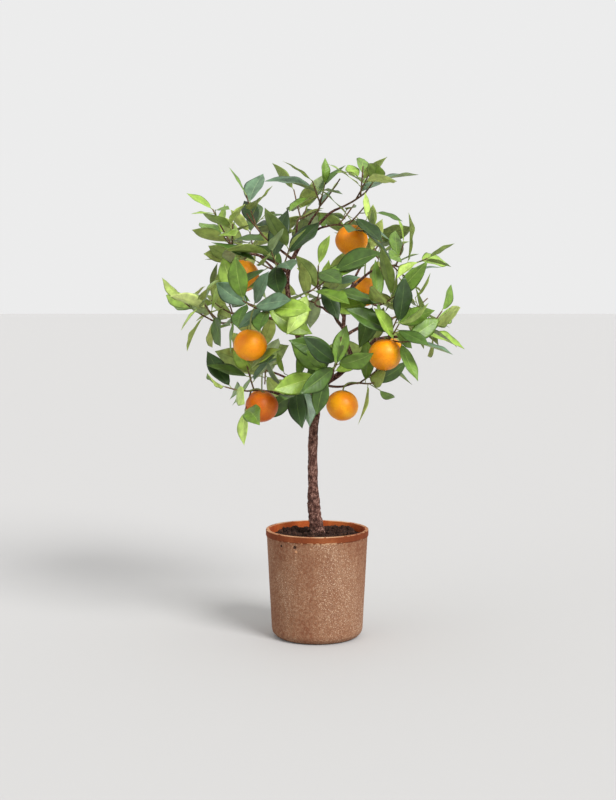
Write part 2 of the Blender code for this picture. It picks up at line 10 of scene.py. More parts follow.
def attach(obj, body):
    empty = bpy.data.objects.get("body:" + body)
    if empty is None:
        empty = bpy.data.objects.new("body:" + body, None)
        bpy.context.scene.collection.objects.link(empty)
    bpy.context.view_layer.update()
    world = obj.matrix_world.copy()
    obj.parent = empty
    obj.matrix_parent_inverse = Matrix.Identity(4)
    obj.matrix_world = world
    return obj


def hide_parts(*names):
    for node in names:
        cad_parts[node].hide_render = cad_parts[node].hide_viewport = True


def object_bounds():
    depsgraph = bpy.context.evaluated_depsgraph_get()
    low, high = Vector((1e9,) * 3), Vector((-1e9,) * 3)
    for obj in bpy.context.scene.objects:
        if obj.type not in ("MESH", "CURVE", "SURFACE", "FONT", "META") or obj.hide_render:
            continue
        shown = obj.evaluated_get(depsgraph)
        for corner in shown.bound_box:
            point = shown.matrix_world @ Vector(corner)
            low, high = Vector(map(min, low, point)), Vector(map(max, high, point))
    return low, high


# A small orange tree in a terracotta pot. Metres, Z up, the front towards -Y.
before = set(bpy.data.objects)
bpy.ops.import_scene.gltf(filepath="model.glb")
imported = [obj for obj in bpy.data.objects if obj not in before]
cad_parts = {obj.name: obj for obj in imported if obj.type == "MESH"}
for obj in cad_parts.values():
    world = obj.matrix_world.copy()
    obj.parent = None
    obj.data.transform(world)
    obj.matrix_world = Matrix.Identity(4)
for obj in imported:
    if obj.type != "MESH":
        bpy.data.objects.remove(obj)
cadBox = [[float(c) for c in corner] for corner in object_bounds()]
print("stage: frame loaded")

# The places and sizes that the solids are grown from
gap = 0.0003
soilLevel = 0.244
trunkShape = {
    "way": ((0.006, 0, 0.234), (-0.009, 0, 0.330), (-0.008, 0, 0.520), (0.022, 0, 0.628)),
    "flareRadius": 0.0168,
    "flareHeight": 0.105,
    "radius": 0.0114,
    "neckRadius": 0.0082,
    "neckStart": 0.70,
    "rings": 14,
}

# Limbs: carrier, share of the way along it, tip, bow, radius at the foot and at the tip
limbSpacing = 0.040
limbWander = 0.0022
limbs = {
    "leader_lower": ("trunk", 0.9, (-0.068, 0.04, 0.816), (-0.01, 0.004, 0), 0.0074, 0.0066),
    "leader_upper": ("leader_lower", 1, (-0.019, -0.01, 0.982), (-0.024, 0.012, 0.004), 0.0062, 0.0048),
    "crest_bough": ("leader_upper", 1, (0.061, -0.012, 1.044), (0, 0, 0.008), 0.0044, 0.0026),
    "crest_left_spur": ("leader_upper", 0.92, (-0.004, -0.022, 1.026), (-0.004, 0, 0), 0.0034, 0.0024),
    "top_front_spur": ("leader_upper", 0.9, (0.025, -0.05, 0.996), (0, 0, 0.005), 0.0034, 0.0024),
    "upper_left_bough": ("leader_upper", 0.42, (-0.177, -0.03, 0.931), (-0.004, 0.006, 0.014),
                         0.0044, 0.0026),
    "upper_left_spur": ("leader_upper", 0.62, (-0.119, -0.005, 0.965), (-0.002, 0, 0.003), 0.0034, 0.0024),
    "left_bough": ("leader_lower", 0.9, (-0.202, -0.07, 0.77), (-0.002, -0.006, 0.008), 0.0046, 0.0026),
    "front_left_bough": ("leader_lower", 0.95, (-0.115, -0.12, 0.808), (-0.006, 0, 0.004), 0.0042, 0.0026),
    "centre_left_spur": ("leader_upper", 0.3, (-0.082, -0.06, 0.878), (-0.004, 0, 0.002), 0.0034, 0.0024),
    "lower_left_bough": ("trunk", 0.7, (-0.131, -0.09, 0.608), (-0.004, 0.004, 0.016), 0.0046, 0.0028),
    "lower_centre_spur": ("trunk", 0.88, (-0.035, -0.05, 0.61), (-0.004, 0, 0.004), 0.0034, 0.0024),
    "right_bough": ("trunk", 1, (0.138, -0.08, 0.73), (0.002, 0.004, -0.006), 0.0074, 0.0048),
    "front_bough": ("right_bough", 0.12, (0.036, -0.1, 0.653), (0, 0, 0.006), 0.0038, 0.0026),
    "lower_right_bough": ("trunk", 0.96, (0.077, -0.06, 0.621), (0.002, 0, -0.004), 0.0034, 0.0024),
    "right_outer_bough": ("right_bough", 1, (0.218, -0.076, 0.732), (0, 0, 0.006), 0.0044, 0.0026),
    "right_low_spur": ("right_bough", 0.86, (0.148, -0.114, 0.724), (0, 0, 0.002), 0.0034, 0.0024),
    "right_upright": ("right_bough", 0.55, (0.079, 0.05, 0.847), (-0.018, 0, 0), 0.0056, 0.0042),
    "centre_bough": ("right_upright", 0.62, (0.01, -0.09, 0.84), (0, 0.004, 0.01), 0.004, 0.0026),
    "right_mid_bough": ("right_upright", 0.94, (0.116, -0.03, 0.821), (0.004, 0, 0.004), 0.0036, 0.0024),
    "right_upper_bough": ("right_upright", 1, (0.159, 0.02, 0.901), (0, 0, 0.01), 0.0038, 0.0026),
    "back_crest_bough": ("leader_upper", 0.7, (-0.05, 0.09, 1.003), (0, 0.008, 0.004), 0.0038, 0.0026),
    "back_upper_left_bough": ("leader_upper", 0.2, (-0.137, 0.12, 0.925), (0, 0.006, 0.006), 0.0042, 0.0026),
    "back_left_bough": ("leader_lower", 0.72, (-0.178, 0.12, 0.781), (0, 0.008, 0.008), 0.0046, 0.0028),
    "back_low_left_bough": ("trunk", 0.82, (-0.113, 0.13, 0.64), (0, 0.006, 0.01), 0.0044, 0.0026),
    "back_centre_bough": ("right_upright", 0.45, (0.003, 0.18, 0.805), (0, 0.008, 0.01), 0.0046, 0.0028),
    "back_low_right_bough": ("right_bough", 0.25, (0.123, 0.12, 0.656), (0, 0.006, 0.006), 0.0044, 0.0026),
    "back_right_bough": ("right_upright", 0.35, (0.187, 0.11, 0.776), (0, 0.008, 0.008), 0.0044, 0.0026),
    "back_upper_right_bough": ("right_upright", 0.86, (0.123, 0.13, 0.926), (0, 0.008, 0.006),
                               0.0038, 0.0026),
}

# Masses of leaves: the limb that carries each, its heart, the seed of its rule, how light its
# leaves are from -1 to 1, and the middles of its oranges
masses = {
    "crest": ("crest_bough", (0.116, -0.015, 1.078), 1754, 0.45, ()),
    "crest_left": ("crest_left_spur", (0.008, -0.03, 1.058), 250, -0.25, ()),
    "top_front": ("top_front_spur", (0.069, -0.075, 0.994), 1585, 0.1, ((0.08, -0.07, 0.962),)),
    "upper_left": ("upper_left_bough", (-0.21, -0.05, 0.963), 1062, 0.0, ((-0.178, -0.02, 0.881),)),
    "upper_left_inner": ("upper_left_spur", (-0.147, -0.01, 0.998), 112, -0.1, ()),
    "left": ("left_bough", (-0.251, -0.085, 0.775), 1676, 0.25, ()),
    "front_left": ("front_left_bough", (-0.141, -0.17, 0.803), 141, 0.0, ((-0.155, -0.17, 0.719),)),
    "centre_left": ("centre_left_spur", (-0.094, -0.12, 0.895), 1182, -0.1, ()),
    "lower_left": ("lower_left_bough", (-0.165, -0.115, 0.609), 2606, -0.1, ((-0.13, -0.13, 0.575),)),
    "lower_centre": ("lower_centre_spur", (-0.046, -0.09, 0.619), 1232, -0.15, ()),
    "front": ("front_bough", (0.037, -0.16, 0.666), 485, 0.05, ()),
    "lower_right": ("lower_right_bough", (0.105, -0.09, 0.626), 1587, -0.25, ((0.059, -0.07, 0.572),)),
    "right_low": ("right_low_spur", (0.166, -0.142, 0.732), 2099, 0.0, ((0.155, -0.15, 0.696),)),
    "right_outer": ("right_outer_bough", (0.251, -0.075, 0.741), 912, 0.35, ()),
    "centre": ("centre_bough", (0, -0.17, 0.858), 1727, 0.0, ()),
    "right_mid": ("right_mid_bough", (0.142, -0.09, 0.807), 1957, 0.1, ()),
    "right_upper": ("right_upper_bough", (0.199, 0, 0.9), 2048, 0.2, ()),
    "back_crest": ("back_crest_bough", (-0.035, 0.15, 1.026), 1145, 0.0, ()),
    "back_upper_left": ("back_upper_left_bough", (-0.17, 0.18, 0.932), 2881, 0.0, ((-0.187, 0.2, 0.878),)),
    "back_left": ("back_left_bough", (-0.223, 0.16, 0.79), 2692, 0.0, ((-0.174, 0.15, 0.707),)),
    "back_low_left": ("back_low_left_bough", (-0.14, 0.18, 0.637), 1220, 0.0, ((-0.141, 0.18, 0.556),)),
    "back_centre": ("back_centre_bough", (0.003, 0.25, 0.826), 2205, 0.0, ()),
    "back_low_right": ("back_low_right_bough", (0.149, 0.18, 0.658), 2252, 0.0, ()),
    "back_right": ("back_right_bough", (0.23, 0.15, 0.786), 880, 0.0, ((0.182, 0.18, 0.69),)),
    "back_upper_right": ("back_upper_right_bough", (0.148, 0.18, 0.947), 1711, 0.0, ((0.12, 0.15, 0.842),)),
}

# The rule of growth inside a mass, as in the solids; pairs are the ends of a draw
growth = {
    "crownMiddle": (-0.010, 0, 0.800),
    "reach": 0.175,
    "collar": 0.004,
    "bend": 0.45,
    "shoots": 3,
    "lastShoot": 0.97,
    "shootStep": 0.16,
    "shootDrift": 0.4,
    "shootLength": 0.062,
    "shootLengths": (0.7, 1.3),
    "shootSpread": math.radians(62),
    "spreads": (0.75, 1.25),
    "firstSpreads": (0.0, 0.4),
    "shootRise": 0.35,
    "shootOutward": 0.35,
    "shootLift": 0.15,
    "shootRadius": 0.0021,
    "tipRadius": 0.0016,
    "leaves": 4,
    "firstLeaf": 0.30,
    "lastLeaf": 0.94,
    "turn": math.radians(137.5),
    "leafDrift": 0.35,
    "lowTilt": math.radians(82),
    "topTilt": math.radians(34),
    "tiltDrift": 0.2,
    "lightScatter": 0.55,
    "lightRise": 0.8,
    "leafLength": 0.120,
    "leafLengths": (0.80, 1.14),
    "leafWidth": 0.41,
    "leafWidths": (0.88, 1.12),
    "arches": (0.02, 0.20),
}

# Odd whole numbers that scatter a grid's corners into the same noise every time
scatter = {
    "corner": (374761393, 668265263, 1103515245),
    "seed": 974634777,
    "stir": 1274126177,
    "most": 0xFFFFFFFF,
}

up = Vector((0, 0, 1))
fullTurn = 2 * math.pi
ringStart = (0, -1, 0.3)


def linear(colour):
    # Screen red, green and blue, 0 to 255, as the light they stand for.
    return (*[((c / 255 + 0.055) / 1.055) ** 2.4 for c in colour], 1)


# Shapes worked out as arrays

def unit(rows):
    # Each row divided by its length.
    return rows / np.maximum(np.linalg.norm(rows, axis=-1, keepdims=True), 1e-12)


def bell(away, width):
    # A bell curve: one in the middle, dying away with the square of the distance over the width.
    return np.exp(-(away / width) ** 2)


def bezier(start, corner, end, t):
    # The quadratic Bezier's point at t, for vectors and for rows alike.
    return start * (1 - t) ** 2 + corner * 2 * t * (1 - t) + end * t * t


def lattice(points, scale, seed):
    # Smooth noise from 0 to 1: seeded values at whole numbers, blended by 3t^2 - 2t^3 between.
    spots = np.asarray(points, float) * scale
    cell = np.floor(spots).astype(np.int64)
    part = spots - cell
    part = part * part * (3 - 2 * part)
    total = np.zeros(spots.shape[:-1])
    for corner in np.ndindex(2, 2, 2):
        mixed = (cell + np.array(corner)) @ np.array(scatter["corner"]) + seed * scatter["seed"]
        mixed = mixed & scatter["most"]
        mixed = (mixed ^ mixed >> 13) * scatter["stir"] & scatter["most"]
        weight = np.prod(np.where(np.array(corner), part, 1 - part), axis=-1)
        total += weight * (mixed ^ mixed >> 16) / scatter["most"]
    return total


def rough(points, scale, seed, octaves=4):
    # Noise of halving size and strength added up, from about -1 to 1.
    total = 0
    for k in range(octaves):
        total = total + (lattice(points, scale * 2 ** k, seed + 17 * k) * 2 - 1) / 2 ** k
    return total / (2 - 0.5 ** (octaves - 1))


def gridFaces(rows, columns, ring=False):
    # Two triangles for each cell of a grid of points, row by row. A ring closes on itself.
    row = np.arange(rows - 1)[:, None]
    column = np.arange(columns if ring else columns - 1)[None, :]
    after = (column + 1) % columns
    a, b = row * columns + column, row * columns + after
    c, d = b + columns, a + columns
    return np.stack([a, b, c, a, c, d], axis=-1).reshape(-1, 3)


def ringFaces(rows, columns):
    # A grid that closes round, with one more point at each end that the end rings draw in to.
    faces = gridFaces(rows, columns, True)
    k = np.arange(columns)
    after = (k + 1) % columns
    last = (rows - 1) * columns
    foot = np.stack([after, k, np.full(columns, rows * columns)], axis=-1)
    top = np.stack([last + k, last + after, np.full(columns, rows * columns + 1)], axis=-1)
    return np.concatenate([faces, foot, top])


def repeated(faces, count, size):
    # The same faces for every one of many shapes that lie one after another.
    return (faces[None] + np.arange(count)[:, None, None] * size).reshape(-1, 3)


def makePiece(name, points, faces, finishes, nodes=(), faceFinish=None, uv=None):
    # One smooth mesh from rows of points and triangles, which rides on the plant's one body.
    mesh = bpy.data.meshes.new(name)
    points = np.ascontiguousarray(points, np.float32).reshape(-1, 3)
    faces = np.ascontiguousarray(faces, np.int32)
    mesh.vertices.add(len(points))
    mesh.vertices.foreach_set("co", points.ravel())
    mesh.loops.add(faces.size)
    mesh.loops.foreach_set("vertex_index", faces.ravel())
    mesh.polygons.add(len(faces))
    mesh.polygons.foreach_set("loop_start", np.arange(len(faces), dtype=np.int32) * 3)
    mesh.polygons.foreach_set("use_smooth", np.ones(len(faces), bool))
    for material in finishes:
        mesh.materials.append(material)
    if faceFinish is not None:
        mesh.polygons.foreach_set("material_index", np.ascontiguousarray(faceFinish, np.int32))
    if uv is not None:
        layer = mesh.uv_layers.new(name="place")
        layer.data.foreach_set("uv", np.ascontiguousarray(uv, np.float32)[faces.ravel()].ravel())
    mesh.update()
    mesh.validate()
    piece = bpy.data.objects.new(name, mesh)
    bpy.context.scene.collection.objects.link(piece)
    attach(piece, "root")
    if nodes:
        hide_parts(*nodes)
    print("stage:", name, len(faces), "triangles")


def smoothLine(points, count):
    # A Catmull-Rom curve through the points, read at evenly spaced shares of the way.
    way = np.array([tuple(p) for p in points], float)
    way = np.vstack([way[0] * 2 - way[1], way, way[-1] * 2 - way[-2]])
    spot = np.linspace(0, len(points) - 1, count)
    k = np.minimum(spot.astype(int), len(points) - 2)
    t = (spot - k)[:, None]
    a, b, c, d = way[k], way[k + 1], way[k + 2], way[k + 3]
    return 0.5 * (2 * b + (c - a) * t + (2 * a - 5 * b + 4 * c - d) * t ** 2
                  + (3 * b - a - 3 * c + d) * t ** 3)


def discGrid(rows, columns):
    # Shares of the radius and angles for rings from near the middle out to the edge.
    angles = np.linspace(0, fullTurn, columns, endpoint=False)
    return np.meshgrid((np.arange(rows) + 1) / rows, angles, indexing="ij")


def globe(rows, columns):
    # Unit directions in rings from the top down, and then straight up and straight down.
    share, turn = discGrid(rows, columns)
    polar = (share - 0.5 / rows) * math.pi
    way = np.stack([np.sin(polar) * np.cos(turn), np.sin(polar) * np.sin(turn), np.cos(polar)], axis=-1)
    return np.concatenate([way.reshape(-1, 3), [[0, 0, 1], [0, 0, -1]]])


def tubePoints(lines, radii, sides, relief=None):
    # Rings carried along many lines at once: each point is the line's point plus the ring's
    # direction times the radius, and each end is drawn in to its middle. lines is many x steps x
    # 3, and radii many x steps. Relief adds to the radius.
    ahead = unit(np.gradient(lines, axis=1))
    normal = np.broadcast_to(np.array(ringStart), lines[:, 0].shape)
    frames = np.empty_like(lines)
    for i in range(lines.shape[1]):
        normal = unit(normal - ahead[:, i] * np.sum(normal * ahead[:, i], axis=-1, keepdims=True))
        frames[:, i] = normal
    other = np.cross(ahead, frames)
    turn = np.linspace(0, fullTurn, sides, endpoint=False)[None, None, :, None]
    way = frames[:, :, None] * np.cos(turn) + other[:, :, None] * np.sin(turn)
    reach = np.broadcast_to(radii[:, :, None], lines.shape[:2] + (sides,))
    if relief is not None:
        reach = reach + relief(lines[:, :, None] + way * reach[..., None], reach)
    rings = lines[:, :, None] + way * reach[..., None]
    ends = np.stack([lines[:, 0], lines[:, -1]], axis=1)
    return np.concatenate([rings.reshape(len(lines), -1, 3), ends], axis=1)


def tubePiece(name, lines, radii, sides, material, nodes, relief=None):
    # One piece of all the tubes along the lines.
    points = tubePoints(lines, radii, sides, relief)
    faces = repeated(ringFaces(lines.shape[1], sides), len(lines), points.shape[1])
    makePiece(name, points, faces, [material], nodes)


# The rule of growth, written again as in the solids, with its draws in the same order

def placeAlong(points, along):
    # The point at a share of the way along a line, and the line's direction there.
    spot = along * (len(points) - 1)
    i = min(int(spot), len(points) - 2)
    ahead = (points[i + 1] - points[i]).normalized()
    return points[i].lerp(points[i + 1], spot - i), ahead


def across(direction, wanted):
    # The unit direction nearest to the wanted one that is square to the given one.
    side = wanted - direction * wanted.dot(direction)
    if side.length < 1e-4:
        side = direction.orthogonal()
    return side.normalized()


def turned(ahead, turn):
    # Square to the way ahead: the side nearest to straight up, turned round it.
    return Matrix.Rotation(turn, 3, ahead) @ across(ahead, up)


def bent(start, heading, tip, steps):
    # A quadratic Bezier that leaves along its heading and ends at its tip.
    corner = start + heading * (tip - start).length * growth["bend"]
    spots = [i / steps for i in range(steps + 1)]
    return [bezier(start, corner, tip, t) for t in spots]


def trunkRadius(heights):
    # The flare dies away with the square of the height, and the neck narrows evenly.
    shape = trunkShape
    foot = shape["way"][0][2]
    rise = heights - foot
    neck = np.maximum(0, rise / (shape["way"][-1][2] - foot) - shape["neckStart"]) / (1 - shape["neckStart"])
    flare = bell(rise, shape["flareHeight"])
    return (shape["radius"] + (shape["neckRadius"] - shape["radius"]) * neck
            + (shape["flareRadius"] - shape["radius"]) * flare)


def growLimbs():
    # The trunk's middle is a Catmull-Rom curve. Each limb starts on its carrier's line, bows most
    # half way, and wanders by seeded steps.
    lines = {"trunk": [Vector(p) for p in smoothLine(trunkShape["way"], trunkShape["rings"])]}
    for name, (carrier, along, tip, bow, base, _) in limbs.items():
        start, ahead = placeAlong(lines[carrier], along)
        if along == 1:
            start = start - ahead * base
        tip = Vector(tip)
        steps = max(3, round((tip - start).length / limbSpacing))
        draw = random.Random(name)
        points = []
        for i in range(steps + 1):
            t = i / steps
            step = Vector([draw.uniform(-1, 1) for _ in range(3)])
            points.append(start.lerp(tip, t) + Vector(bow) * 4 * t * (1 - t)
                          + step * limbWander * math.sin(math.pi * t))
        lines[name] = points
    return lines


def growShoots(heart, start, heading, draw):
    # The stem to the heart, and the shoots that turn off it, rising and drawn out of the crown.
    rule = growth
    stem = [start] + bent(start + heading * rule["collar"], heading, heart, 3)
    outward = (heart - Vector(rule["crownMiddle"])).normalized()
    turn = draw.uniform(0, fullTurn)
    shoots = []
    for k in range(rule["shoots"]):
        root, ahead = placeAlong(stem, rule["lastShoot"] - rule["shootStep"] * k)
        spread = rule["shootSpread"] * draw.uniform(*rule["spreads" if k else "firstSpreads"])
        turn += rule["turn"] + draw.uniform(-rule["shootDrift"], rule["shootDrift"])
        way = ahead * math.cos(spread) + turned(ahead, turn) * math.sin(spread)
        way = (way + Vector((0, 0, rule["shootRise"])) + outward * rule["shootOutward"]).normalized()
        length = rule["shootLength"] * draw.uniform(*rule["shootLengths"])
        shoots.append(bent(root, way, root + way * length + up * rule["shootLift"] * length, 2))
    return stem, shoots, outward


def growLeaf(line, spot, turn, tilt, outward, draw, longest):
    # One leaf: its root on the line, its direction, and its face turned up and out to the light.
    rule = growth
    root, ahead = placeAlong(line, spot)
    along = (ahead * math.cos(tilt) + turned(ahead, turn) * math.sin(tilt)).normalized()
    stray = rule["lightScatter"]
    light = Vector([draw.uniform(-stray, stray) for _ in range(3)]) + outward
    light += Vector((0, 0, rule["lightRise"]))
    length = longest * draw.uniform(*rule["leafLengths"])
    width = length * rule["leafWidth"] * draw.uniform(*rule["leafWidths"])
    return {"root": root, "along": along, "face": across(along, light), "length": length, "width": width,
            "arch": draw.uniform(*rule["arches"]), "line": line, "spot": spot, "young": 0.0}


def growLeaves(shoot, outward, draw):
    # The leaves of one shoot, a fixed turn apart, the lowest well out and the last round the tip.
    rule = growth
    leaves = []
    turn = draw.uniform(0, fullTurn)
    for j in range(rule["leaves"]):
        share = j / (rule["leaves"] - 1)
        spot = rule["firstLeaf"] + (rule["lastLeaf"] - rule["firstLeaf"]) * share
        turn += rule["turn"] + draw.uniform(-rule["leafDrift"], rule["leafDrift"])
        tilt = rule["lowTilt"] + (rule["topTilt"] - rule["lowTilt"]) * share
        tilt += draw.uniform(-rule["tiltDrift"], rule["tiltDrift"])
        leaves.append(growLeaf(shoot, spot, turn, tilt, outward, draw, rule["leafLength"]))
    return leaves


def leafMiddle(leaf, share):
    # A place on the rib, which falls from its straight way by the square of the share.
    fall = leaf["arch"] * leaf["length"] * share * share
    return leaf["root"] + leaf["along"] * leaf["length"] * share - leaf["face"] * fall


def leafSpots(leaf):
    # Three places along the rib, for telling how near two leaves come.
    return np.array([tuple(leafMiddle(leaf, share)) for share in finer["checked"]])


def nodeCorners(name):
    # The corners of one of the frame's nodes.
    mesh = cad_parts[name].data
    corners = np.empty(len(mesh.vertices) * 3)
    mesh.vertices.foreach_get("co", corners)
    return corners.reshape(-1, 3)


def nearest(rows, places):
    # The shortest distance from any of the rows to any of the places.
    return np.min(np.linalg.norm(rows[:, None] - np.atleast_2d(places)[None], axis=2))


# What scene.py adds to the rule: small young leaves at shoot tips, on side sprigs and on stems.
# A sprig's leaves are given by share of its length and tilt, and pairs are the ends of a draw.
finer = {
    "seed": "finer ",
    "tipSpot": 0.99,
    "tipTilts": (0.15, 0.7),
    "tipLength": 0.086,
    "sprigSpots": (0.15, 0.85),
    "sprigAhead": 0.6,
    "sprigRise": 0.3,
    "sprigLength": 0.034,
    "sprigLeaves": ((0.55, 1.2), (0.99, 0.85)),
    "sprigLeafLength": 0.072,
    "stemSpots": (0.35, 0.75),
    "stemTilts": (0.8, 1.3),
    "stemLeafLength": 0.080,
    "youth": (0.3, 1.0),
    "checked": (0.35, 0.65, 0.95),
    "woodSteps": 40,
    "clear": 0.024,
    "limbClear": 0.013,
    "fruitClear": 0.006,
    "boxMargin": 0.004,
    "shootClear": 0.0040,
}


def growSprays(lines):
    # Every mass by its rule. A shoot or leaf stays where the mass's own solid has it, which the
    # distance from its tip to the solid's nearest corner tells.
    sprays = {}
    for name, (limb, heart, seed, light, oranges) in masses.items():
        draw = random.Random(seed)
        carrier = lines[limb]
        heading = (carrier[-1] - carrier[-2]).normalized()
        start = carrier[-1] + heading * gap
        stem, shoots, outward = growShoots(Vector(heart), start, heading, draw)
        corners = nodeCorners(name)
        spray = {"stem": stem, "shoots": [], "leaves": [], "sprigs": [], "outward": outward,
                 "heart": np.array(Vector(heart)), "limbRadius": limbs[limb][5], "light": light,
                 "oranges": [Vector(o) for o in oranges]}
        for shoot in shoots:
            leaves = growLeaves(shoot, outward, draw)
            if nearest(corners, shoot[-1]) < finer["shootClear"]:
                spray["shoots"].append(shoot)
                spray["leaves"] += [leaf for leaf in leaves if nearest(corners, leafMiddle(leaf, 1.0)) < gap]
        sprays[name] = spray
    return sprays


def stalkLine(stem, middle):
    # From near the stem's end out and over, then straight down into the orange's top.
    top = middle + up * (fruit["radius"] * fruit["height"] - fruit["stalkSink"])
    root = placeAlong(stem, fruit["stalkSpot"])[0]
    overTop, overRoot = fruit["stalkRise"]
    over = Vector((top.x, top.y, max(top.z + overTop, root.z + overRoot)))
    return [bezier(root, over, top, t) for t in (0, 1 / 3, 2 / 3, 1)]


def youngPlaces(spray, draw):
    # Where the rule would carry on, as line, share, turn, tilt, length and whether it is a sprig.
    places = []
    for shoot in spray["shoots"]:
        turn = draw.uniform(0, fullTurn) + growth["turn"]
        tilt = draw.uniform(*finer["tipTilts"])
        places.append((shoot, finer["tipSpot"], turn, tilt, finer["tipLength"], False))
        root, ahead = placeAlong(shoot, draw.uniform(*finer["sprigSpots"]))
        way = ahead * finer["sprigAhead"] + turned(ahead, turn + growth["turn"]) + up * finer["sprigRise"]
        way = way.normalized()
        tip = root + way * finer["sprigLength"] * draw.uniform(*growth["shootLengths"])
        sprig = bent(root, way, tip, 2)
        turn = draw.uniform(0, fullTurn)
        for spot, tilt in finer["sprigLeaves"]:
            turn += growth["turn"]
            tilt += draw.uniform(-growth["tiltDrift"], growth["tiltDrift"])
            places.append((sprig, spot, turn, tilt, finer["sprigLeafLength"], True))
    spot = draw.uniform(*finer["stemSpots"])
    turn = draw.uniform(0, fullTurn)
    tilt = draw.uniform(*finer["stemTilts"])
    places.append((spray["stem"], spot, turn, tilt, finer["stemLeafLength"], False))
    return places


def growFiner(sprays, lines):
    # A young leaf stays only where it is inside its mass's reach, nearest to its own heart, inside
    # the solids' box and clear of leaves, wood and fruit.
    taken = np.vstack([leafSpots(leaf) for s in sprays.values() for leaf in s["leaves"]])
    wood = np.vstack([smoothLine(points, finer["woodSteps"]) for points in lines.values()])
    fruits = np.array([tuple(o) for s in sprays.values() for o in s["oranges"]])
    low = np.array(cadBox[0]) + finer["boxMargin"]
    high = np.array(cadBox[1]) - finer["boxMargin"]
    fruitClear = fruit["radius"] + finer["fruitClear"]
    for name, spray in sprays.items():
        draw = random.Random(finer["seed"] + name)
        others = np.array([s["heart"] for s in sprays.values() if s is not spray])
        for line, spot, turn, tilt, longest, isSprig in youngPlaces(spray, draw):
            leaf = growLeaf(line, spot, turn, tilt, spray["outward"], draw, longest)
            spots = leafSpots(leaf)
            own = np.linalg.norm(spots - spray["heart"], axis=1)
            if own[2] > growth["reach"] or nearest(others, spots[1]) < own[1]:
                continue
            if np.any(spots < low) or np.any(spots > high) or nearest(taken, spots) < finer["clear"]:
                continue
            if nearest(wood, spots) < finer["limbClear"] or nearest(fruits, spots) < fruitClear:
                continue
            leaf["young"] = draw.uniform(*finer["youth"])
            if isSprig and line not in spray["sprigs"]:
                spray["sprigs"].append(line)
            spray["leaves"].append(leaf)
            taken = np.vstack([taken, spots])


# Finishes

def feed(look, socket, value):
    # Another node's output is linked to the socket, and a plain value is set on it.
    if isinstance(value, bpy.types.NodeSocket):
        look.tree.links.new(value, socket)
    else:
        socket.default_value = value


def addNode(look, kind, inputs=(), **settings):
    # A node with its settings, and its inputs given as values or as other nodes' outputs.
    node = look.tree.nodes.new(kind)
    for key, value in settings.items():
        setattr(node, key, value)
    for key, value in dict(inputs).items():
        feed(look, node.inputs[key], value)
    return node


def newFinish(name, colour, roughness, specular=0.5):
    # A Principled material, kept with its node tree, its shader and Object coordinates.
    material = bpy.data.materials.new(name)
    material.use_nodes = True
    tree = material.node_tree
    look = SimpleNamespace(material=material, tree=tree, shader=tree.nodes["Principled BSDF"])
    look.shader.inputs["Base Color"].default_value = linear(colour)
    look.shader.inputs["Roughness"].default_value = roughness
    look.shader.inputs["Specular IOR Level"].default_value = specular
    look.coords = addNode(look, "ShaderNodeTexCoord").outputs["Object"]
    return look


def noise(look, scale, detail, roughness=0.55, stretch=(1, 1, 1)):
    # Noise over the piece, drawn out along an axis where its stretch is below one.
    mapped = addNode(look, "ShaderNodeMapping", {"Vector": look.coords, "Scale": stretch}).outputs["Vector"]
    inputs = {"Vector": mapped, "Scale": scale, "Detail": detail, "Roughness": roughness}
    return addNode(look, "ShaderNodeTexNoise", inputs).outputs["Fac"]


def cells(look, scale):
    # The distance to the nearest of scattered points.
    return addNode(look, "ShaderNodeTexVoronoi", {"Vector": look.coords, "Scale": scale}).outputs["Distance"]


def ramp(look, factor, places, colours):
    # Colours laid along a factor at given places.
    node = addNode(look, "ShaderNodeValToRGB", {"Fac": factor})
    edge = node.color_ramp.elements
    while len(edge) < len(places):
        edge.new(0.5)
    for element, place, colour in zip(edge, places, colours):
        element.position = place
        element.color = linear(colour)
    return node.outputs["Color"]


def mix(look, factor, first, second):
    # The first colour, gone over by the second as far as the factor says.
    return addNode(look, "ShaderNodeMix", {0: factor, 6: first, 7: second}, data_type="RGBA").outputs[2]


def spread(look, value, low, high):
    # A value's span from low to high drawn out to 0 to 1 and held there.
    return addNode(look, "ShaderNodeMapRange", {"Value": value, "From Min": low, "From Max": high}).outputs[0]


def calc(look, operation, first, second=0.0):
    # One step of arithmetic on two values.
    return addNode(look, "ShaderNodeMath", {0: first, 1: second}, operation=operation).outputs[0]


def times(look, first, second):
    # One value multiplied by another.
    return calc(look, "MULTIPLY", first, second)


def weighed(look, first, weight, second, otherWeight):
    # The sum of two values, each times its weight.
    return calc(look, "ADD", times(look, first, weight), times(look, second, otherWeight))


def wash(look, under, amount, most, colour):
    # A screen colour laid over by the amount times its most.
    return mix(look, times(look, amount, most), under, linear(colour))


def relief(look, height, strength, distance):
    # A height that shows in the light only.
    bump = addNode(look, "ShaderNodeBump", {"Height": height, "Strength": strength, "Distance": distance})
    feed(look, look.shader.inputs["Normal"], bump.outputs["Normal"])


def paint(look, colour):
    # The finish takes its colour from the node's output.
    feed(look, look.shader.inputs["Base Color"], colour)


def shade(colour, by):
    # A screen colour made darker or lighter.
    return tuple(min(255, c * by) for c in colour)


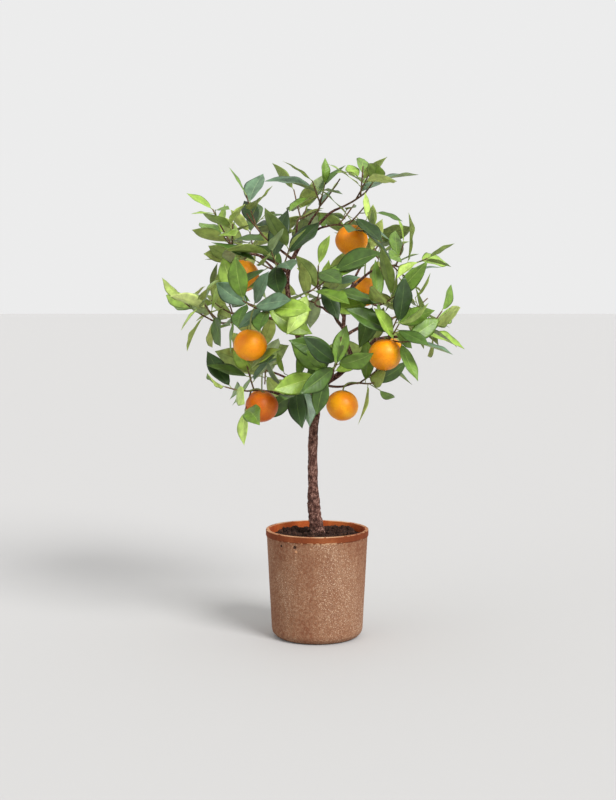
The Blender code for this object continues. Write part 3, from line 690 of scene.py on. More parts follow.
def leafFinish(name, colour, roughness):
    # Plain leaf colour, a little mottled. Its side veins are relief: half of one plus a sine of the
    # place along the leaf, which lags with the distance from the rib, to the fourth power.
    look = newFinish(name, colour, roughness, 0.45)
    paint(look, ramp(look, noise(look, 55, 3.0), (0.3, 0.7), (shade(colour, 0.84), shade(colour, 1.14))))
    uv = addNode(look, "ShaderNodeUVMap", uv_map="place").outputs["UV"]
    place = addNode(look, "ShaderNodeSeparateXYZ", {"Vector": uv}).outputs
    out = calc(look, "ABSOLUTE", calc(look, "SUBTRACT", place["X"], 0.5))
    wave = calc(look, "SINE", weighed(look, place["Y"], 62.0, out, -22.0))
    wave = calc(look, "POWER", calc(look, "ADD", times(look, wave, 0.5), 0.5), 4.0)
    relief(look, weighed(look, wave, -0.8, noise(look, 900, 2.0), 0.3), 0.35, 0.0006)
    return look.material


def plainFinish(name, colour, roughness):
    # One colour with fine mottling and a little grain.
    look = newFinish(name, colour, roughness)
    grain = noise(look, 140, 5.0)
    paint(look, ramp(look, grain, (0.3, 0.7), (shade(colour, 0.8), shade(colour, 1.15))))
    relief(look, grain, 0.5, 0.0004)
    return look.material


# Leaves. Pairs are the ends of a draw: fold and cup by the half width, wave and sway by the length

leafShape = {
    "rows": 15,
    "columns": (-1, -0.76, -0.46, -0.18, -0.032, 0.032, 0.18, 0.46, 0.76, 1),
    "rowDrift": 0.035,
    "thickness": 0.0007,
    "endFade": (6, 1.02),
    "fold": (0.10, 0.42),
    "cup": (-0.22, 0.10),
    "wave": (0.004, 0.020),
    "waves": (1.4, 2.6),
    "twist": (-0.35, 0.35),
    "sway": (-0.05, 0.05),
    "bladeStart": 0.075,
    "fullness": (0.72, 0.33),
    "tipDraw": 0.28,
    "seed": 40,
}

# Leaf tones: screen colours of face, underside and rib, how often each is dealt, and how light it
# is from -1 to 1
leafTones = {
    "dark": ((44, 66, 30), (118, 138, 70), (74, 96, 46), 0.21, -0.9),
    "deep": ((70, 98, 36), (134, 154, 78), (104, 130, 58), 0.26, -0.5),
    "mid": ((102, 134, 46), (154, 172, 88), (138, 164, 76), 0.25, 0.0),
    "fresh": ((138, 168, 64), (174, 190, 104), (172, 194, 98), 0.15, 0.5),
    "pale": ((172, 198, 96), (194, 208, 124), (196, 214, 124), 0.08, 0.9),
    # This tone is painted sheen: a bluish grey for leaf faces that stands for light reflected off them at a
    # grazing angle.
    "grey": ((94, 122, 92), (150, 168, 116), (126, 150, 112), 0.08, -0.4),
}
toneDeal = {"youth": 0.7, "darker": 0.15, "width": 0.85}


def dealTone(light, young, draw):
    # Tones near the spray's own lightness come up more often, by a bell curve, and young leaves
    # are lighter.
    aim = light + toneDeal["youth"] * young - toneDeal["darker"]
    weights = [share * bell(tone - aim, toneDeal["width"])
               for *_, share, tone in leafTones.values()]
    return draw.choices(list(leafTones), weights)[0]


def outline(share):
    # Half width of a pointed oval leaf: a sine, fuller at the foot and drawn in at the tip.
    foot, more = leafShape["fullness"]
    curve = np.sin(math.pi * np.clip(share, 0, 1)) ** (foot + more * share)
    return np.maximum(curve * (1 - leafShape["tipDraw"] * share ** 8), 0.0)


def leafBlades(leaves, seed):
    # All blades of one tone at once. A point is the rib's point, plus the side way times the
    # outline, plus the face way times fold, cup and wave; the underside lies a leaf's thickness
    # below and shares the rim.
    shape = leafShape
    draw = np.random.default_rng(seed)
    count = len(leaves)
    each = (count, 1, 1)
    column = np.array(shape["columns"], float)
    share = np.linspace(0, 1, shape["rows"])
    share = share + shape["rowDrift"] * np.sin(fullTurn * share)
    root, along, face = (np.array([tuple(leaf[k]) for leaf in leaves])[:, None, None]
                         for k in ("root", "along", "face"))
    length, width, arch = (np.array([leaf[k] for leaf in leaves])[:, None, None]
                           for k in ("length", "width", "arch"))
    side = np.cross(along, face)
    fold = draw.uniform(*shape["fold"], each)
    cup = draw.uniform(*shape["cup"], each)
    wave = draw.uniform(*shape["wave"], each) * length
    waves = draw.uniform(*shape["waves"], each)
    phase = draw.uniform(0, fullTurn, (count, 2))
    twist = draw.uniform(*shape["twist"], each)
    sway = draw.uniform(*shape["sway"], each) * length
    u = share[None, :, None]
    v = column[None, None, :]
    body = shape["bladeStart"] + (1 - shape["bladeStart"]) * u
    full = outline(u)
    half = full * (width / 2)
    edge = np.abs(v)
    phaseAt = np.where(v < 0, phase[:, :1, None], phase[:, 1:, None])
    lift = (half * edge * fold + half * edge ** 2 * cup
            + wave * edge ** 2 * np.sin(fullTurn * waves * u + phaseAt) * full)
    lift = lift - arch * length * body ** 2 + half * v * np.sin(twist * u)
    shift = half * v * np.cos(twist * u) + sway * np.sin(math.pi * body)
    top = root + along * (length * body)[..., None] + side * shift[..., None] + face * lift[..., None]
    steep, far = shape["endFade"]
    thick = shape["thickness"] * (1 - edge ** 2) * np.minimum(1, steep * u * (far - u))
    rows, columns = len(share), len(column)
    rim = np.zeros((rows, columns), bool)
    rim[[0, -1]] = True
    rim[:, [0, -1]] = True
    under = (top - face * thick[..., None])[:, ~rim]
    points = np.concatenate([top.reshape(count, -1, 3), under], axis=1)
    below = np.arange(rows * columns).reshape(rows, columns)
    below[~rim] = rows * columns + np.arange(np.count_nonzero(~rim))
    faces = gridFaces(rows, columns)
    cell = (np.arange(len(faces)) // 2) % (columns - 1)
    ribbed = cell == (columns - 1) // 2
    finish = np.concatenate([np.where(ribbed, 2, 0), np.where(ribbed, 2, 1)])
    flat = np.stack(np.broadcast_arrays((column[None, :] + 1) / 2, share[:, None]), axis=-1)
    uv = np.concatenate([flat.reshape(-1, 2), flat[~rim]])
    faces = np.concatenate([faces, below.ravel()[faces][:, ::-1]])
    faces = repeated(faces, count, points.shape[1])
    return points.reshape(-1, 3), faces, np.tile(finish, count), np.tile(uv, (count, 1))


def makeLeaves(sprays):
    # Every leaf dealt to a tone, and one piece for each tone.
    tones = {name: [] for name in leafTones}
    for name, spray in sprays.items():
        draw = random.Random("tone " + name)
        for leaf in spray["leaves"]:
            tones[dealTone(spray["light"], leaf["young"], draw)].append(leaf)
    for k, (tone, leaves) in enumerate(tones.items()):
        face, under, rib, *_ = leafTones[tone]
        finishes = [
            leafFinish("leaf_face_" + tone, face, 0.42),
            leafFinish("leaf_under_" + tone, under, 0.62),
            plainFinish("leaf_rib_" + tone, rib, 0.5),
        ]
        points, faces, finish, uv = leafBlades(leaves, leafShape["seed"] + k)
        makePiece("leaves_" + tone, points, faces, finishes, list(masses), finish, uv)


# Twigs: radii at the foot and at the tip, knots by share of the radius, and screen colours. A
# petiole runs to the blade by way of a bend, both given by share of the leaf

twig = {
    "steps": 18,
    "sides": 12,
    "greenSides": 9,
    "stalk": 0.0019,
    "sprig": (0.0013, 0.0009),
    "knots": 0.10,
    "petioleRadii": (0.001375, 0.00088),
    "petioleSides": 6,
    "petioleSteps": 5,
    "petioleBend": 0.04,
    "petioleEnd": 0.105,
    # The twig bark's lightest colour, on the raised grain, is a painted highlight, and its darkest is partly
    # painted shade.
    "bark": ((74, 50, 36), (104, 78, 56), (128, 110, 78)),
    "green": (122, 134, 70),
    "petiole": (142, 156, 84),
}


def twigKnots(spots, reach):
    # Noise that grows with the radius.
    return reach * twig["knots"] * rough(spots, 260, 5, 3)


def makeTwigs(sprays):
    # Stems and shoots taper along smooth lines; sprigs and stalks are thinner and green.
    brown, brownRadii, green, greenRadii, petioles = [], [], [], [], []
    steps = twig["steps"]
    even = np.linspace(0, 1, steps)
    tip, foot = growth["tipRadius"], growth["shootRadius"]
    for spray in sprays.values():
        brown += [smoothLine(line, steps) for line in [spray["stem"], *spray["shoots"]]]
        brownRadii.append(spray["limbRadius"] + (foot - spray["limbRadius"]) * even)
        brownRadii += [foot + (tip - foot) * even] * len(spray["shoots"])
        stalks = [stalkLine(spray["stem"], middle) for middle in spray["oranges"]]
        green += [smoothLine(line, steps) for line in stalks + spray["sprigs"]]
        greenRadii += [np.full(steps, twig["stalk"])] * len(stalks)
        greenRadii += [np.linspace(*twig["sprig"], steps)] * len(spray["sprigs"])
        for leaf in spray["leaves"]:
            root = smoothLine(leaf["line"], steps)[min(round(leaf["spot"] * (steps - 1)), steps - 1)]
            end = np.array(leafMiddle(leaf, twig["petioleEnd"]))
            middle = (root + np.array(leafMiddle(leaf, twig["petioleBend"]))) / 2
            t = np.linspace(0, 1, twig["petioleSteps"])[:, None]
            petioles.append(bezier(root, middle, end, t))
    radii = [np.linspace(*twig["petioleRadii"], twig["petioleSteps"])] * len(petioles)
    brownBark = barkFinish("twig_bark", twig["bark"])
    greenBark = plainFinish("green_bark", twig["green"], 0.5)
    petioleGreen = plainFinish("petiole_green", twig["petiole"], 0.5)
    kinds = (
        ("twigs", brown, brownRadii, twig["sides"], brownBark, twigKnots),
        ("sprigs", green, greenRadii, twig["greenSides"], greenBark, twigKnots),
        ("petioles", petioles, radii, twig["petioleSides"], petioleGreen, None),
    )
    for name, lines, radii, sides, material, knots in kinds:
        tubePiece(name, np.array(lines), np.array(radii), sides, material, list(masses), knots)


# Bark. A band of ridges has its number round the wood, its slant, its waver, and the scale and seed
# of the noise in it. The blend is the share of ridges, how far all is sunk and the share of grain

barkShape = {
    "trunkSteps": 460,
    "trunkSides": 84,
    "boughSteps": 90,
    "boughSides": 24,
    "ridge": 0.0014,
    "boughRidge": 0.00045,
    "bands": ((2.0, 175, 2.4, 60, 11), (3.0, -138, 2.8, 45, 23)),
    "ridgeWidth": 1.6,
    "blend": (0.8, 0.35, 0.8),
    "grain": (190, 31, 4),
    "heart": -0.004,
    "underSoil": 0.010,
    "footDepth": (0.55, 0.75),
    "footFade": 0.13,
    "knot": (0.0016, 0.318, 0.020),
    "swell": (0.0006, 96),
    "collar": (0.22, 0.05),
    # Crack, bark and scale colours: the scales' pink is a painted highlight and the cracks' dark is partly
    # painted shade.
    "colours": ((46, 24, 18), (88, 54, 44), (148, 114, 102)),
}


def barkFinish(name, colours):
    # Dark cracks, brown bark and greyish pink scales, laid out by stretched noise that also gives the
    # relief: the pink on the raised scales is a painted highlight, and the dark of the cracks is partly
    # the bark's own colour and partly painted shade.
    look = newFinish(name, colours[1], 0.86, 0.3)
    long = noise(look, 150, 5.0, 0.62, (1, 1, 0.55))
    fine = noise(look, 460, 4.0, 0.65, (1, 1, 0.7))
    height = weighed(look, long, 0.5, fine, 0.5)
    paint(look, ramp(look, height, (0.43, 0.51, 0.59), colours))
    relief(look, height, 0.9, 0.0022)
    return look.material


def barkRelief(depth):
    # Ridges that cross on a slant, where two leaning bands of noise run over each other. They are
    # deeper near the soil, by a bell curve of the height.
    def push(spots, _):
        # How far each point of the wood stands out.
        shape = barkShape
        angle = np.arctan2(spots[..., 1], spots[..., 0] - shape["heart"])
        height = spots[..., 2]
        bands = [np.abs(np.sin(number * angle + slant * height + waver * rough(spots, scale, seed, 3)))
                 for number, slant, waver, scale, seed in shape["bands"]]
        ridge = 1 - np.minimum(*bands) * shape["ridgeWidth"]
        least, more = shape["footDepth"]
        low = least + more * bell(np.maximum(height - soilLevel, 0), shape["footFade"])
        ridges, sunk, grain = shape["blend"]
        return depth * low * (ridges * ridge - sunk + grain * rough(spots, *shape["grain"]))
    return push


def makeBark(lines):
    # The trunk's radius swells at a knot, by a bell curve, and by a slow sine. Boughs taper evenly
    # and are stouter at their collars.
    shape = barkShape
    bark = barkFinish("bark", shape["colours"])
    line = smoothLine(trunkShape["way"], shape["trunkSteps"])
    line = line[line[:, 2] > soilLevel - shape["underSoil"]]
    height = line[:, 2]
    rise, place, width = shape["knot"]
    depth, pace = shape["swell"]
    swell = rise * bell(height - place, width) + depth * np.sin(height * pace)
    radii = trunkRadius(height) + swell
    tubePiece("trunk_bark", line[None], radii[None], shape["trunkSides"], bark, ["trunk"],
              barkRelief(shape["ridge"]))
    boughs = np.array([smoothLine(lines[name], shape["boughSteps"]) for name in limbs])
    even = np.linspace(0, 1, shape["boughSteps"])
    radii = np.array([base + (end - base) * even for *_, base, end in limbs.values()])
    extra, reach = shape["collar"]
    radii = radii * (1 + extra * bell(even, reach))
    tubePiece("bough_bark", boughs, radii, shape["boughSides"], bark, list(limbs),
              barkRelief(shape["boughRidge"]))


# Oranges: dents and the ring by depth, place and width in radians, their lobes by share and number,
# and peel colours

fruit = {
    "radius": 0.0382,
    "height": 0.95,
    "stalkSink": 0.008,
    "stalkSpot": 0.9,
    "stalkRise": (0.02, 0.008),
    "rows": 56,
    "columns": 84,
    "lumps": 0.0008,
    "pit": 0.00016,
    "stalkDent": (0.0022, 0.20),
    "navelDent": (0.0034, 0.085),
    "navelRing": (0.0009, 0.17, 0.07),
    "stalkLobes": (0.25, 5),
    "navelLobes": (0.3, 3),
    "lean": 0.25,
    "deep": ("lower_left",),
    "navelTilt": {"right_low": (0.04, -0.42)},
    "calyx": 0.0052,
    "calyxGrid": (7, 40),
    "calyxLobes": (0.26, 5),
    "calyxRise": 0.0016,
    "calyxEdge": 0.0003,
    "calyxThickness": 0.0012,
    "calyxEnds": (0.0020, -0.0008),
}
peels = {
    "oranges": ((228, 126, 2), (240, 152, 4), (248, 176, 12)),
    "oranges_deep": ((192, 84, 6), (208, 104, 10), (222, 128, 20)),
}


def stood(points, middle, axis):
    # Points turned from straight up to the axis and moved to the middle.
    return points @ np.array(up.rotation_difference(axis).to_matrix()).T + np.array(middle)


def lobed(around, lobes, seed):
    # One plus a cosine of the angle, as many times round as there are lobes.
    share, number = lobes
    return 1 + share * np.cos(number * around + seed)


def orangePoints(middle, axis, seed):
    # A globe a little flatter along its axis, drawn in round the stalk, with a navel's ring and
    # dent at the far end and fine pits all over, each dent a bell curve of the angle.
    every = globe(fruit["rows"], fruit["columns"])
    fromTop = np.arccos(np.clip(every[:, 2], -1, 1))
    fromNavel = math.pi - fromTop
    around = np.arctan2(every[:, 1], every[:, 0])
    push = fruit["lumps"] * rough(every, 1.6, seed, 2) + fruit["pit"] * rough(every, 42, seed + 3, 2)
    depth, width = fruit["stalkDent"]
    push = push - depth * bell(fromTop, width) * lobed(around, fruit["stalkLobes"], seed)
    depth, width = fruit["navelDent"]
    push = push - depth * bell(fromNavel, width)
    rise, place, width = fruit["navelRing"]
    push = push + rise * bell(fromNavel - place, width) * lobed(around, fruit["navelLobes"], seed)
    return stood(every * (fruit["radius"] + push)[:, None] * (1, 1, fruit["height"]), middle, axis)


def orangeFinish(name, colours):
    # Peel: orange that shifts slowly, with small pits darkened by painted shade in their hollows and a
    # soft waxy sheen.
    look = newFinish(name, colours[1], 0.40, 0.32)
    skin = ramp(look, noise(look, 26, 3.0), (0.3, 0.55, 0.75), colours)
    pits = cells(look, 620)
    # Painted shade: the peel darkens towards the middle of each pit, where the relief is lowest.
    paint(look, mix(look, spread(look, pits, 0.0, 0.5), linear(shade(colours[0], 0.9)), skin))
    relief(look, spread(look, pits, 0.05, 0.6), 0.35, 0.0005)
    look.shader.inputs["Subsurface Weight"].default_value = 0.08
    look.shader.inputs["Subsurface Radius"].default_value = (0.006, 0.003, 0.001)
    return look.material


def makeOranges(sprays):
    # Each orange leans a little by its own draws, and two pieces hold the two colours of peel.
    kinds = {name: [] for name in peels}
    places = []
    for name, spray in sprays.items():
        for middle in spray["oranges"]:
            draw = random.Random("orange " + name)
            drawn = [draw.uniform(-fruit["lean"], fruit["lean"]) for _ in range(2)]
            axis = -Vector((*fruit["navelTilt"].get(name, drawn), -1)).normalized()
            places.append((middle, axis, len(places) + 1))
            kinds["oranges_deep" if name in fruit["deep"] else "oranges"].append(orangePoints(*places[-1]))
    faces = ringFaces(fruit["rows"], fruit["columns"])[:, ::-1]
    for name, shapes in kinds.items():
        makePiece(name, np.concatenate(shapes), repeated(faces, len(shapes), len(shapes[0])),
                  [orangeFinish("peel_" + name, peels[name])], list(masses))
    makeCalyxes(places)


def makeCalyxes(places):
    # A five-lobed green cap where each stalk meets its orange, like a small domed star.
    rows, columns = fruit["calyxGrid"]
    share, turn = discGrid(rows, columns)
    deep, number = fruit["calyxLobes"]
    shapes = []
    lift = fruit["radius"] * fruit["height"] - fruit["calyxRise"]
    for middle, axis, k in places:
        radius = fruit["calyx"] * share * (1 - deep + deep * np.cos(number * turn + k) * share)
        dome = lift + (fruit["calyxRise"] * (1 - share ** 2) + fruit["calyxEdge"])
        upper = np.stack([radius * np.cos(turn), radius * np.sin(turn), dome], axis=-1)
        lower = upper - np.array([0, 0, fruit["calyxThickness"]])
        pole = [[0, 0, lift + end] for end in fruit["calyxEnds"]]
        local = np.concatenate([upper.reshape(-1, 3), lower[::-1].reshape(-1, 3), pole])
        shapes.append(stood(local, middle, axis))
    faces = repeated(ringFaces(2 * rows, columns), len(shapes), len(shapes[0]))
    green = plainFinish("calyx_green", (112, 122, 62), 0.6)
    makePiece("calyxes", np.concatenate(shapes), faces, [green], list(masses))


# Pot. A pit is its place, its size and how far it stands out

pot = {
    "height": 0.264,
    "lipRadius": 0.1255,
    "lipHeight": 0.016,
    "lipRound": 0.0015,
    "lipStep": (0.0006, 0.0008, 0.0022),
    "neckRadius": 0.1232,
    "footRadius": 0.1105,
    "footRound": 0.022,
    "footSpread": 0.0012,
    "wall": 0.0075,
    "insideDepth": 0.040,
    "columns": 420,
    "step": 0.0022,
    "grain": 0.00022,
    "lumps": 0.00035,
    "throwing": (0.00010, 620),
    "proud": 0.0003,
    "lipStill": 0.0004,
    "footStill": (0.006, 0.02),
    "pits": ((-0.0545, -0.1100, 0.2376, 0.0034, -0.0042), (-0.0868, -0.0870, 0.2368, 0.0026, -0.0032),
             (-0.0510, -0.1115, 0.2278, 0.0040, -0.0012), (0.0830, -0.0880, 0.1200, 0.0020, -0.0010)),
}

# Wear and painted shade: widths of the bands, and how much of the rim and of the line under the lip
# has worn pale, where the least noise that shows is given at the front and elsewhere. The foot's band
# and the holes of the deep pits are painted shade
wearAndShade = {
    "ragged": 0.0016,
    "insideGap": 0.0045,
    "rim": 0.0009,
    "rimNoise": -0.25,
    "foot": 0.0022,
    "line": 0.0020,
    "lineNoise": (-0.15, 0.38),
    "front": (-0.2, 0.42),
    "lip": 0.004,
    "holeDepth": 0.002,
    "holeSize": 1.25,
    "chipSize": 0.9,
}

# Clays: dark, middle and light shades, and the pale, bare and speck colours of the bloom
clays = {
    "weathered": (((118, 73, 50), (128, 86, 61), (137, 99, 75)),
                  ((162, 128, 100), (106, 58, 37), (222, 196, 168))),
    "bare": (((148, 62, 22), (168, 78, 32), (184, 96, 44)), ()),
    "pale": (((164, 112, 78), (184, 136, 100), (206, 166, 130)), ()),
    # The dark clay is painted shade, in the holes of the deep pits and on the foot where it meets the floor.
    "dark": (((52, 32, 24), (66, 44, 34), (84, 58, 46)), ()),
    "lip": (((104, 46, 18), (120, 58, 26), (136, 74, 38)), ()),
}


def inner(height):
    # The radius of the pot's inside, whose wall leans like the outside.
    lean = (pot["neckRadius"] - pot["footRadius"]) / (pot["height"] - pot["lipHeight"])
    return pot["footRadius"] + lean * height - pot["wall"]


def potProfile():
    # Radius and height from the middle of the underside, up the outside, over the lip and down
    # the inside below the soil, in steps of about the same length.
    footMiddle = pot["footRadius"] - pot["footRound"] + pot["footSpread"]
    top, lip, corner = pot["height"], pot["lipRadius"], pot["lipRound"]
    lipFoot = top - pot["lipHeight"]
    inside = inner(top)
    bend = [math.radians(a) for a in range(-90, 4, 6)]
    rim = [math.radians(a) for a in range(0, 91, 15)]
    way = [(0.0, 0.0)]
    way += [(footMiddle + pot["footRound"] * math.cos(a), pot["footRound"] * (1 + math.sin(a))) for a in bend]
    back, start, full = pot["lipStep"]
    way += [(pot["neckRadius"], lipFoot), (lip - back, lipFoot + start), (lip, lipFoot + full)]
    way += [(lip + corner * (math.cos(a) - 1), top + corner * (math.sin(a) - 1)) for a in rim]
    way += [(inside + corner * (1 - math.sin(a)), top + corner * (math.cos(a) - 1)) for a in rim]
    way += [(inner(top - pot["insideDepth"]), top - pot["insideDepth"])]
    way = np.array(way)
    length = np.concatenate([[0], np.cumsum(np.linalg.norm(np.diff(way, axis=0), axis=1))])
    between = np.arange(0, length[-1], pot["step"])
    spots = np.unique(np.round(np.concatenate([length, between]), 5))
    return np.stack([np.interp(spots, length, way[:, 0]), np.interp(spots, length, way[:, 1])], axis=-1)


def terracotta(name, colours, bloom):
    # Clay: red-brown shades in soft patches drawn down the wall, and on the outside a pale worn
    # bloom that breaks up into fine specks, with darker runs where it has rubbed off. The hollows of
    # the fine grain are darkened as painted shade.
    look = newFinish(name, colours[1], 0.88, 0.25)
    patches = noise(look, 11, 5.0, 0.6, (1, 1, 0.5))
    clay = ramp(look, patches, (0.36, 0.50, 0.62), colours)
    grain = noise(look, 330, 3.0, 0.6)
    rubbed = noise(look, 150, 6.0, 0.78, (1, 1, 0.8))
    if bloom:
        runs = spread(look, noise(look, 24, 5.0, 0.6, (1, 1, 0.2)), 0.50, 0.70)
        clay = wash(look, clay, runs, 0.34, bloom[1])
        clay = wash(look, clay, spread(look, rubbed, 0.44, 0.60), 0.50, bloom[0])
        shown = times(look, spread(look, cells(look, 300), 0.36, 0.16), spread(look, patches, 0.38, 0.62))
        clay = wash(look, clay, shown, 0.75, bloom[2])
    # Painted shade: the clay darkens where the grain, which also gives the relief, is low.
    paintedGrainShade = calc(look, "SUBTRACT", 1.0, spread(look, grain, 0.38, 0.52))
    paint(look, wash(look, clay, paintedGrainShade, 0.42 if bloom else 0.25, shade(colours[0], 0.74)))
    relief(look, weighed(look, grain, 0.6, rubbed, 0.7), 0.75, 0.0014)
    return look.material


def makePot():
    # The profile turned round, roughened along its own normal by noise and faint throwing rings,
    # with small pits and chips; the underside stays flat.
    profile = potProfile()
    rows, columns = len(profile), pot["columns"]
    radius, height = profile[:, :1], profile[:, 1:]
    tangent = unit(np.gradient(profile, axis=0))
    turn = np.linspace(0, fullTurn, columns, endpoint=False)
    ring = np.stack([np.cos(turn), np.sin(turn)], axis=-1)
    levels = np.broadcast_to(height[:, None], (rows, columns, 1))
    spots = np.concatenate([radius[:, None] * ring, levels], axis=-1)
    push = pot["grain"] * rough(spots, 130, 71, 4) + pot["lumps"] * rough(spots, 16, 79, 2)
    depth, pace = pot["throwing"]
    push = push + depth * np.sin(height * pace)
    for *place, size, depth in pot["pits"]:
        push = push + depth * bell(np.linalg.norm(spots - place, axis=-1), size)
    low, middle = pot["footStill"]
    still = np.clip(height / low, 0, 1) * np.clip(radius / middle, 0, 1)
    push = np.minimum(push * still, np.where(radius > pot["lipRadius"] - pot["lipStill"], 0.0, pot["proud"]))
    spots[..., :2] += push[..., None] * tangent[:, None, 1:] * ring
    spots[..., 2] -= push * tangent[:, :1]
    ends = [spots[0].mean(axis=0), [0, 0, pot["height"] - pot["insideDepth"]]]
    points = np.concatenate([spots[1:].reshape(-1, 3), ends])
    faces = ringFaces(rows - 1, columns)
    finish = potWearAndShade(points[faces].mean(axis=1))
    finishes = [terracotta("clay_" + name, *look) for name, look in clays.items()]
    makePiece("pot_clay", points, faces, finishes, ["pot"], finish)


def potWearAndShade(middle):
    # Which clay each face shows: pits, chips and the worn line under the lip come before the foot, the
    # weathered wall, the rim's pale edge and the lip, and what is left is bare. The holes of the deep
    # pits and the foot, where the pot curls under to the floor, take the dark clay as painted shade.
    outer = np.hypot(middle[:, 0], middle[:, 1])
    height = middle[:, 2]
    lipFoot = pot["height"] - pot["lipHeight"]
    below = height < pot["height"] - pot["insideDepth"] - 0.001
    outside = below | (outer > inner(height) + wearAndShade["insideGap"])
    wall = (height < lipFoot + wearAndShade["ragged"] * rough(middle, 90, 53, 3)) & outside
    edge = (height > pot["height"] - wearAndShade["rim"]) & (rough(middle, 120, 57, 3) > wearAndShade["rimNoise"])
    # The foot's band, where the pot curls under to meet the floor, is painted shade.
    low = height < wearAndShade["foot"]
    angle = np.arctan2(middle[:, 0], -middle[:, 1])
    left, right = wearAndShade["front"]
    line = (np.abs(height - lipFoot) < wearAndShade["line"]) & (outer > pot["neckRadius"] - wearAndShade["line"])
    least = np.where((angle > left) & (angle < right), *wearAndShade["lineNoise"])
    streak = line & (rough(middle, 160, 61, 3) > least)
    # The holes of the deep pits are painted shade.
    paintedShadeHoles = np.zeros(len(middle), bool)
    chips = np.zeros(len(middle), bool)
    for *place, size, depth in pot["pits"]:
        off = np.linalg.norm(middle - place, axis=1)
        paintedShadeHoles |= (off < size * wearAndShade["holeSize"]) & (-depth > wearAndShade["holeDepth"])
        chips |= (off < size * wearAndShade["chipSize"]) & (-depth < wearAndShade["holeDepth"])
    lip = (outer > pot["lipRadius"] - wearAndShade["lip"]) & (height > lipFoot - wearAndShade["lip"])
    index = {name: k for k, name in enumerate(clays)}
    shown = [index[name] for name in ("dark", "pale", "dark", "weathered", "pale", "lip")]
    return np.select([paintedShadeHoles, chips | streak, low, wall, edge, lip], shown, index["bare"])


# Soil: a heap is its middle, its size and its rise

soil = {
    "rows": 110,
    "columns": 240,
    "depth": 0.020,
    "sink": 0.002,
    "edgeGap": 0.0006,
    "heaps": ((-0.066, -0.040, 0.024, 0.015), (-0.020, -0.046, 0.018, 0.013), (0.078, -0.030, 0.024, 0.015),
              (0.010, -0.010, 0.032, 0.011), (0.040, -0.055, 0.020, 0.007), (-0.050, 0.060, 0.036, 0.009),
              (0.060, 0.064, 0.033, 0.010), (0.004, 0.082, 0.025, 0.008)),
    "crumbs": 0.0048,
    "grain": 0.0022,
    "clods": 760,
    "clodSize": (0.0020, 0.0078),
    "clodEdge": 0.010,
    "clodSunk": 0.25,
    "clodStretch": (0.65, 1.25),
    "clodRough": 0.35,
    "clodGrid": (7, 12),
    "seed": 12,
    "colours": ((28, 17, 13), (52, 32, 25), (92, 64, 48)),
}


def soilHeight(x, y):
    # The level, plus low heaps as bell curves, plus crumbs of noise.
    height = soilLevel - soil["sink"]
    for hx, hy, size, rise in soil["heaps"]:
        height = height + rise * np.exp(-((x - hx) ** 2 + (y - hy) ** 2) / size ** 2)
    flat = np.stack([x, y, np.zeros_like(x)], axis=-1)
    return height + soil["crumbs"] * np.abs(rough(flat, 85, 3, 4)) + soil["grain"] * rough(flat, 260, 9, 3)


def makeSoil():
    # A round bed that fills the pot, with its heights at every point.
    edge = inner(soilLevel) - soil["edgeGap"]
    share, turn = discGrid(soil["rows"], soil["columns"])
    x, y = edge * share * np.cos(turn), edge * share * np.sin(turn)
    top = np.stack([x, y, soilHeight(x, y)], axis=-1)
    skirt = top[-1:] - np.array([0, 0, soil["depth"]])
    ends = [[0, 0, soilLevel - soil["depth"]], [0, 0, soilHeight(np.zeros(1), np.zeros(1))[0]]]
    body = np.concatenate([np.concatenate([skirt, top[::-1]]).reshape(-1, 3), ends])
    look = newFinish("soil_crumbs", soil["colours"][1], 0.95, 0.2)
    paint(look, ramp(look, noise(look, 170, 7.0, 0.7), (0.36, 0.52, 0.70), soil["colours"]))
    relief(look, noise(look, 480, 5.0, 0.7), 0.9, 0.0016)
    faces = ringFaces(soil["rows"] + 1, soil["columns"])
    makePiece("soil_bed", body, faces, [look.material], ["soil"])
    makeClods(look.material, edge - soil["clodEdge"])


def makeClods(material, reach):
    # Loose clods lie half sunk: stretched globes pushed in and out by noise, all as one array.
    draw = np.random.default_rng(soil["seed"])
    count = soil["clods"]
    size = draw.uniform(*soil["clodSize"], count) * draw.uniform(0.5, 1, count)
    radius = reach * np.sqrt(draw.uniform(0.02, 1, count))
    turn = draw.uniform(0, fullTurn, count)
    x, y = radius * np.cos(turn), radius * np.sin(turn)
    place = np.stack([x, y, soilHeight(x, y) + size * soil["clodSunk"]], axis=-1)
    ball = globe(*soil["clodGrid"]) * (1, 1, -1)
    local = ball * draw.uniform(*soil["clodStretch"], (count, 1, 3)) * size[:, None, None]
    local = local * (1 + soil["clodRough"] * rough(local + place[:, None] * 3, 330, 4, 3))[..., None]
    faces = repeated(ringFaces(*soil["clodGrid"]), count, len(ball))
    makePiece("soil_clods", place[:, None] + local, faces, [material])


# Floor, light and camera: a sun is its side of the room, its strength and its spread in degrees

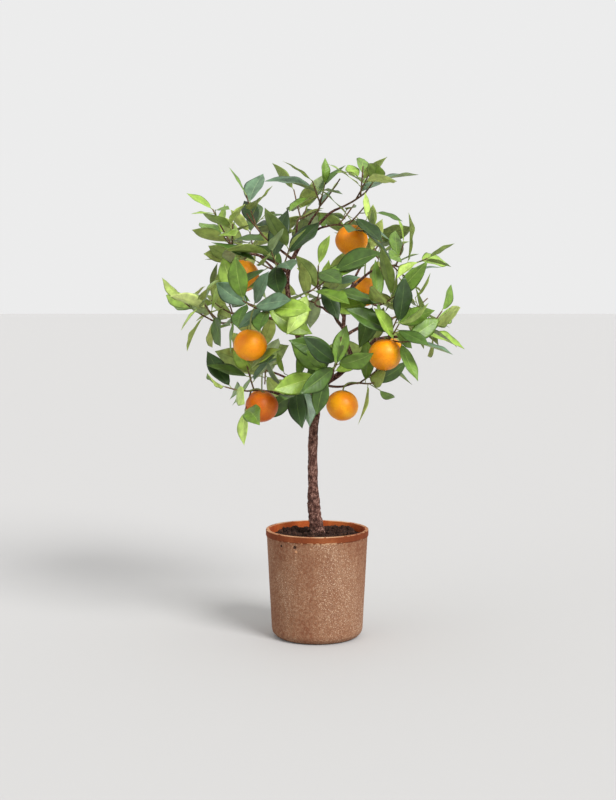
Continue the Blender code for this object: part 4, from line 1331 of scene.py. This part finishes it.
studio = {
    "floor": (190, 189, 188),
    "floorSide": 60.0,
    "world": 0.84,
    "aim": (0, 0, 0.65),
    "key": ((1.9, -2.4, 2.9), 3.2, 26),
    "fill": ((-2.6, -1.9, 1.9), 0.3, 50),
    "lens": 59.5,
    "sensor": 36,
    "camera": (-0.0226, -3.2, 0.83),
    "lookDown": 4.48,
}


def addSun(name, place, strength, spreadAngle):
    # Light from one side of the room, softened by its spread, even over the floor.
    light = bpy.data.lights.new(name, "SUN")
    light.energy = strength
    light.angle = math.radians(spreadAngle)
    lamp = bpy.data.objects.new(name, light)
    lamp.location = place
    lamp.rotation_euler = (Vector(studio["aim"]) - Vector(place)).to_track_quat("-Z", "Y").to_euler()
    bpy.context.scene.collection.objects.link(lamp)


def makeStudio():
    # A wide floor, an even white room, two suns and the photo's camera.
    scene = bpy.context.scene
    mesh = bpy.data.meshes.new("floor")
    side = studio["floorSide"]
    corners = [(-side, -side, 0), (side, -side, 0), (side, side, 0), (-side, side, 0)]
    mesh.from_pydata(corners, [], [(0, 1, 2, 3)])
    mesh.materials.append(newFinish("floor_paint", studio["floor"], 0.8, 0.2).material)
    floor = bpy.data.objects.new("floor", mesh)
    scene.collection.objects.link(floor)
    scene.world = bpy.data.worlds.new("studio")
    scene.world.use_nodes = True
    background = scene.world.node_tree.nodes["Background"]
    background.inputs["Color"].default_value = (1, 1, 1, 1)
    background.inputs["Strength"].default_value = studio["world"]
    for name in ("key", "fill"):
        addSun(name, *studio[name])
    scene.view_settings.view_transform = "Standard"
    lens = bpy.data.cameras.new("camera")
    lens.lens = studio["lens"]
    lens.sensor_width = studio["sensor"]
    camera = bpy.data.objects.new("camera", lens)
    camera.location = studio["camera"]
    camera.rotation_euler = (math.radians(90 - studio["lookDown"]), 0, 0)
    scene.collection.objects.link(camera)
    scene.camera = camera
    print("stage: floor, light and camera")


makeStudio()
limbLines = growLimbs()
sprays = growSprays(limbLines)
growFiner(sprays, limbLines)
print("stage: grown", sum(len(s["leaves"]) for s in sprays.values()), "leaves")
makePot()
makeSoil()
makeBark(limbLines)
makeTwigs(sprays)
makeLeaves(sprays)
makeOranges(sprays)
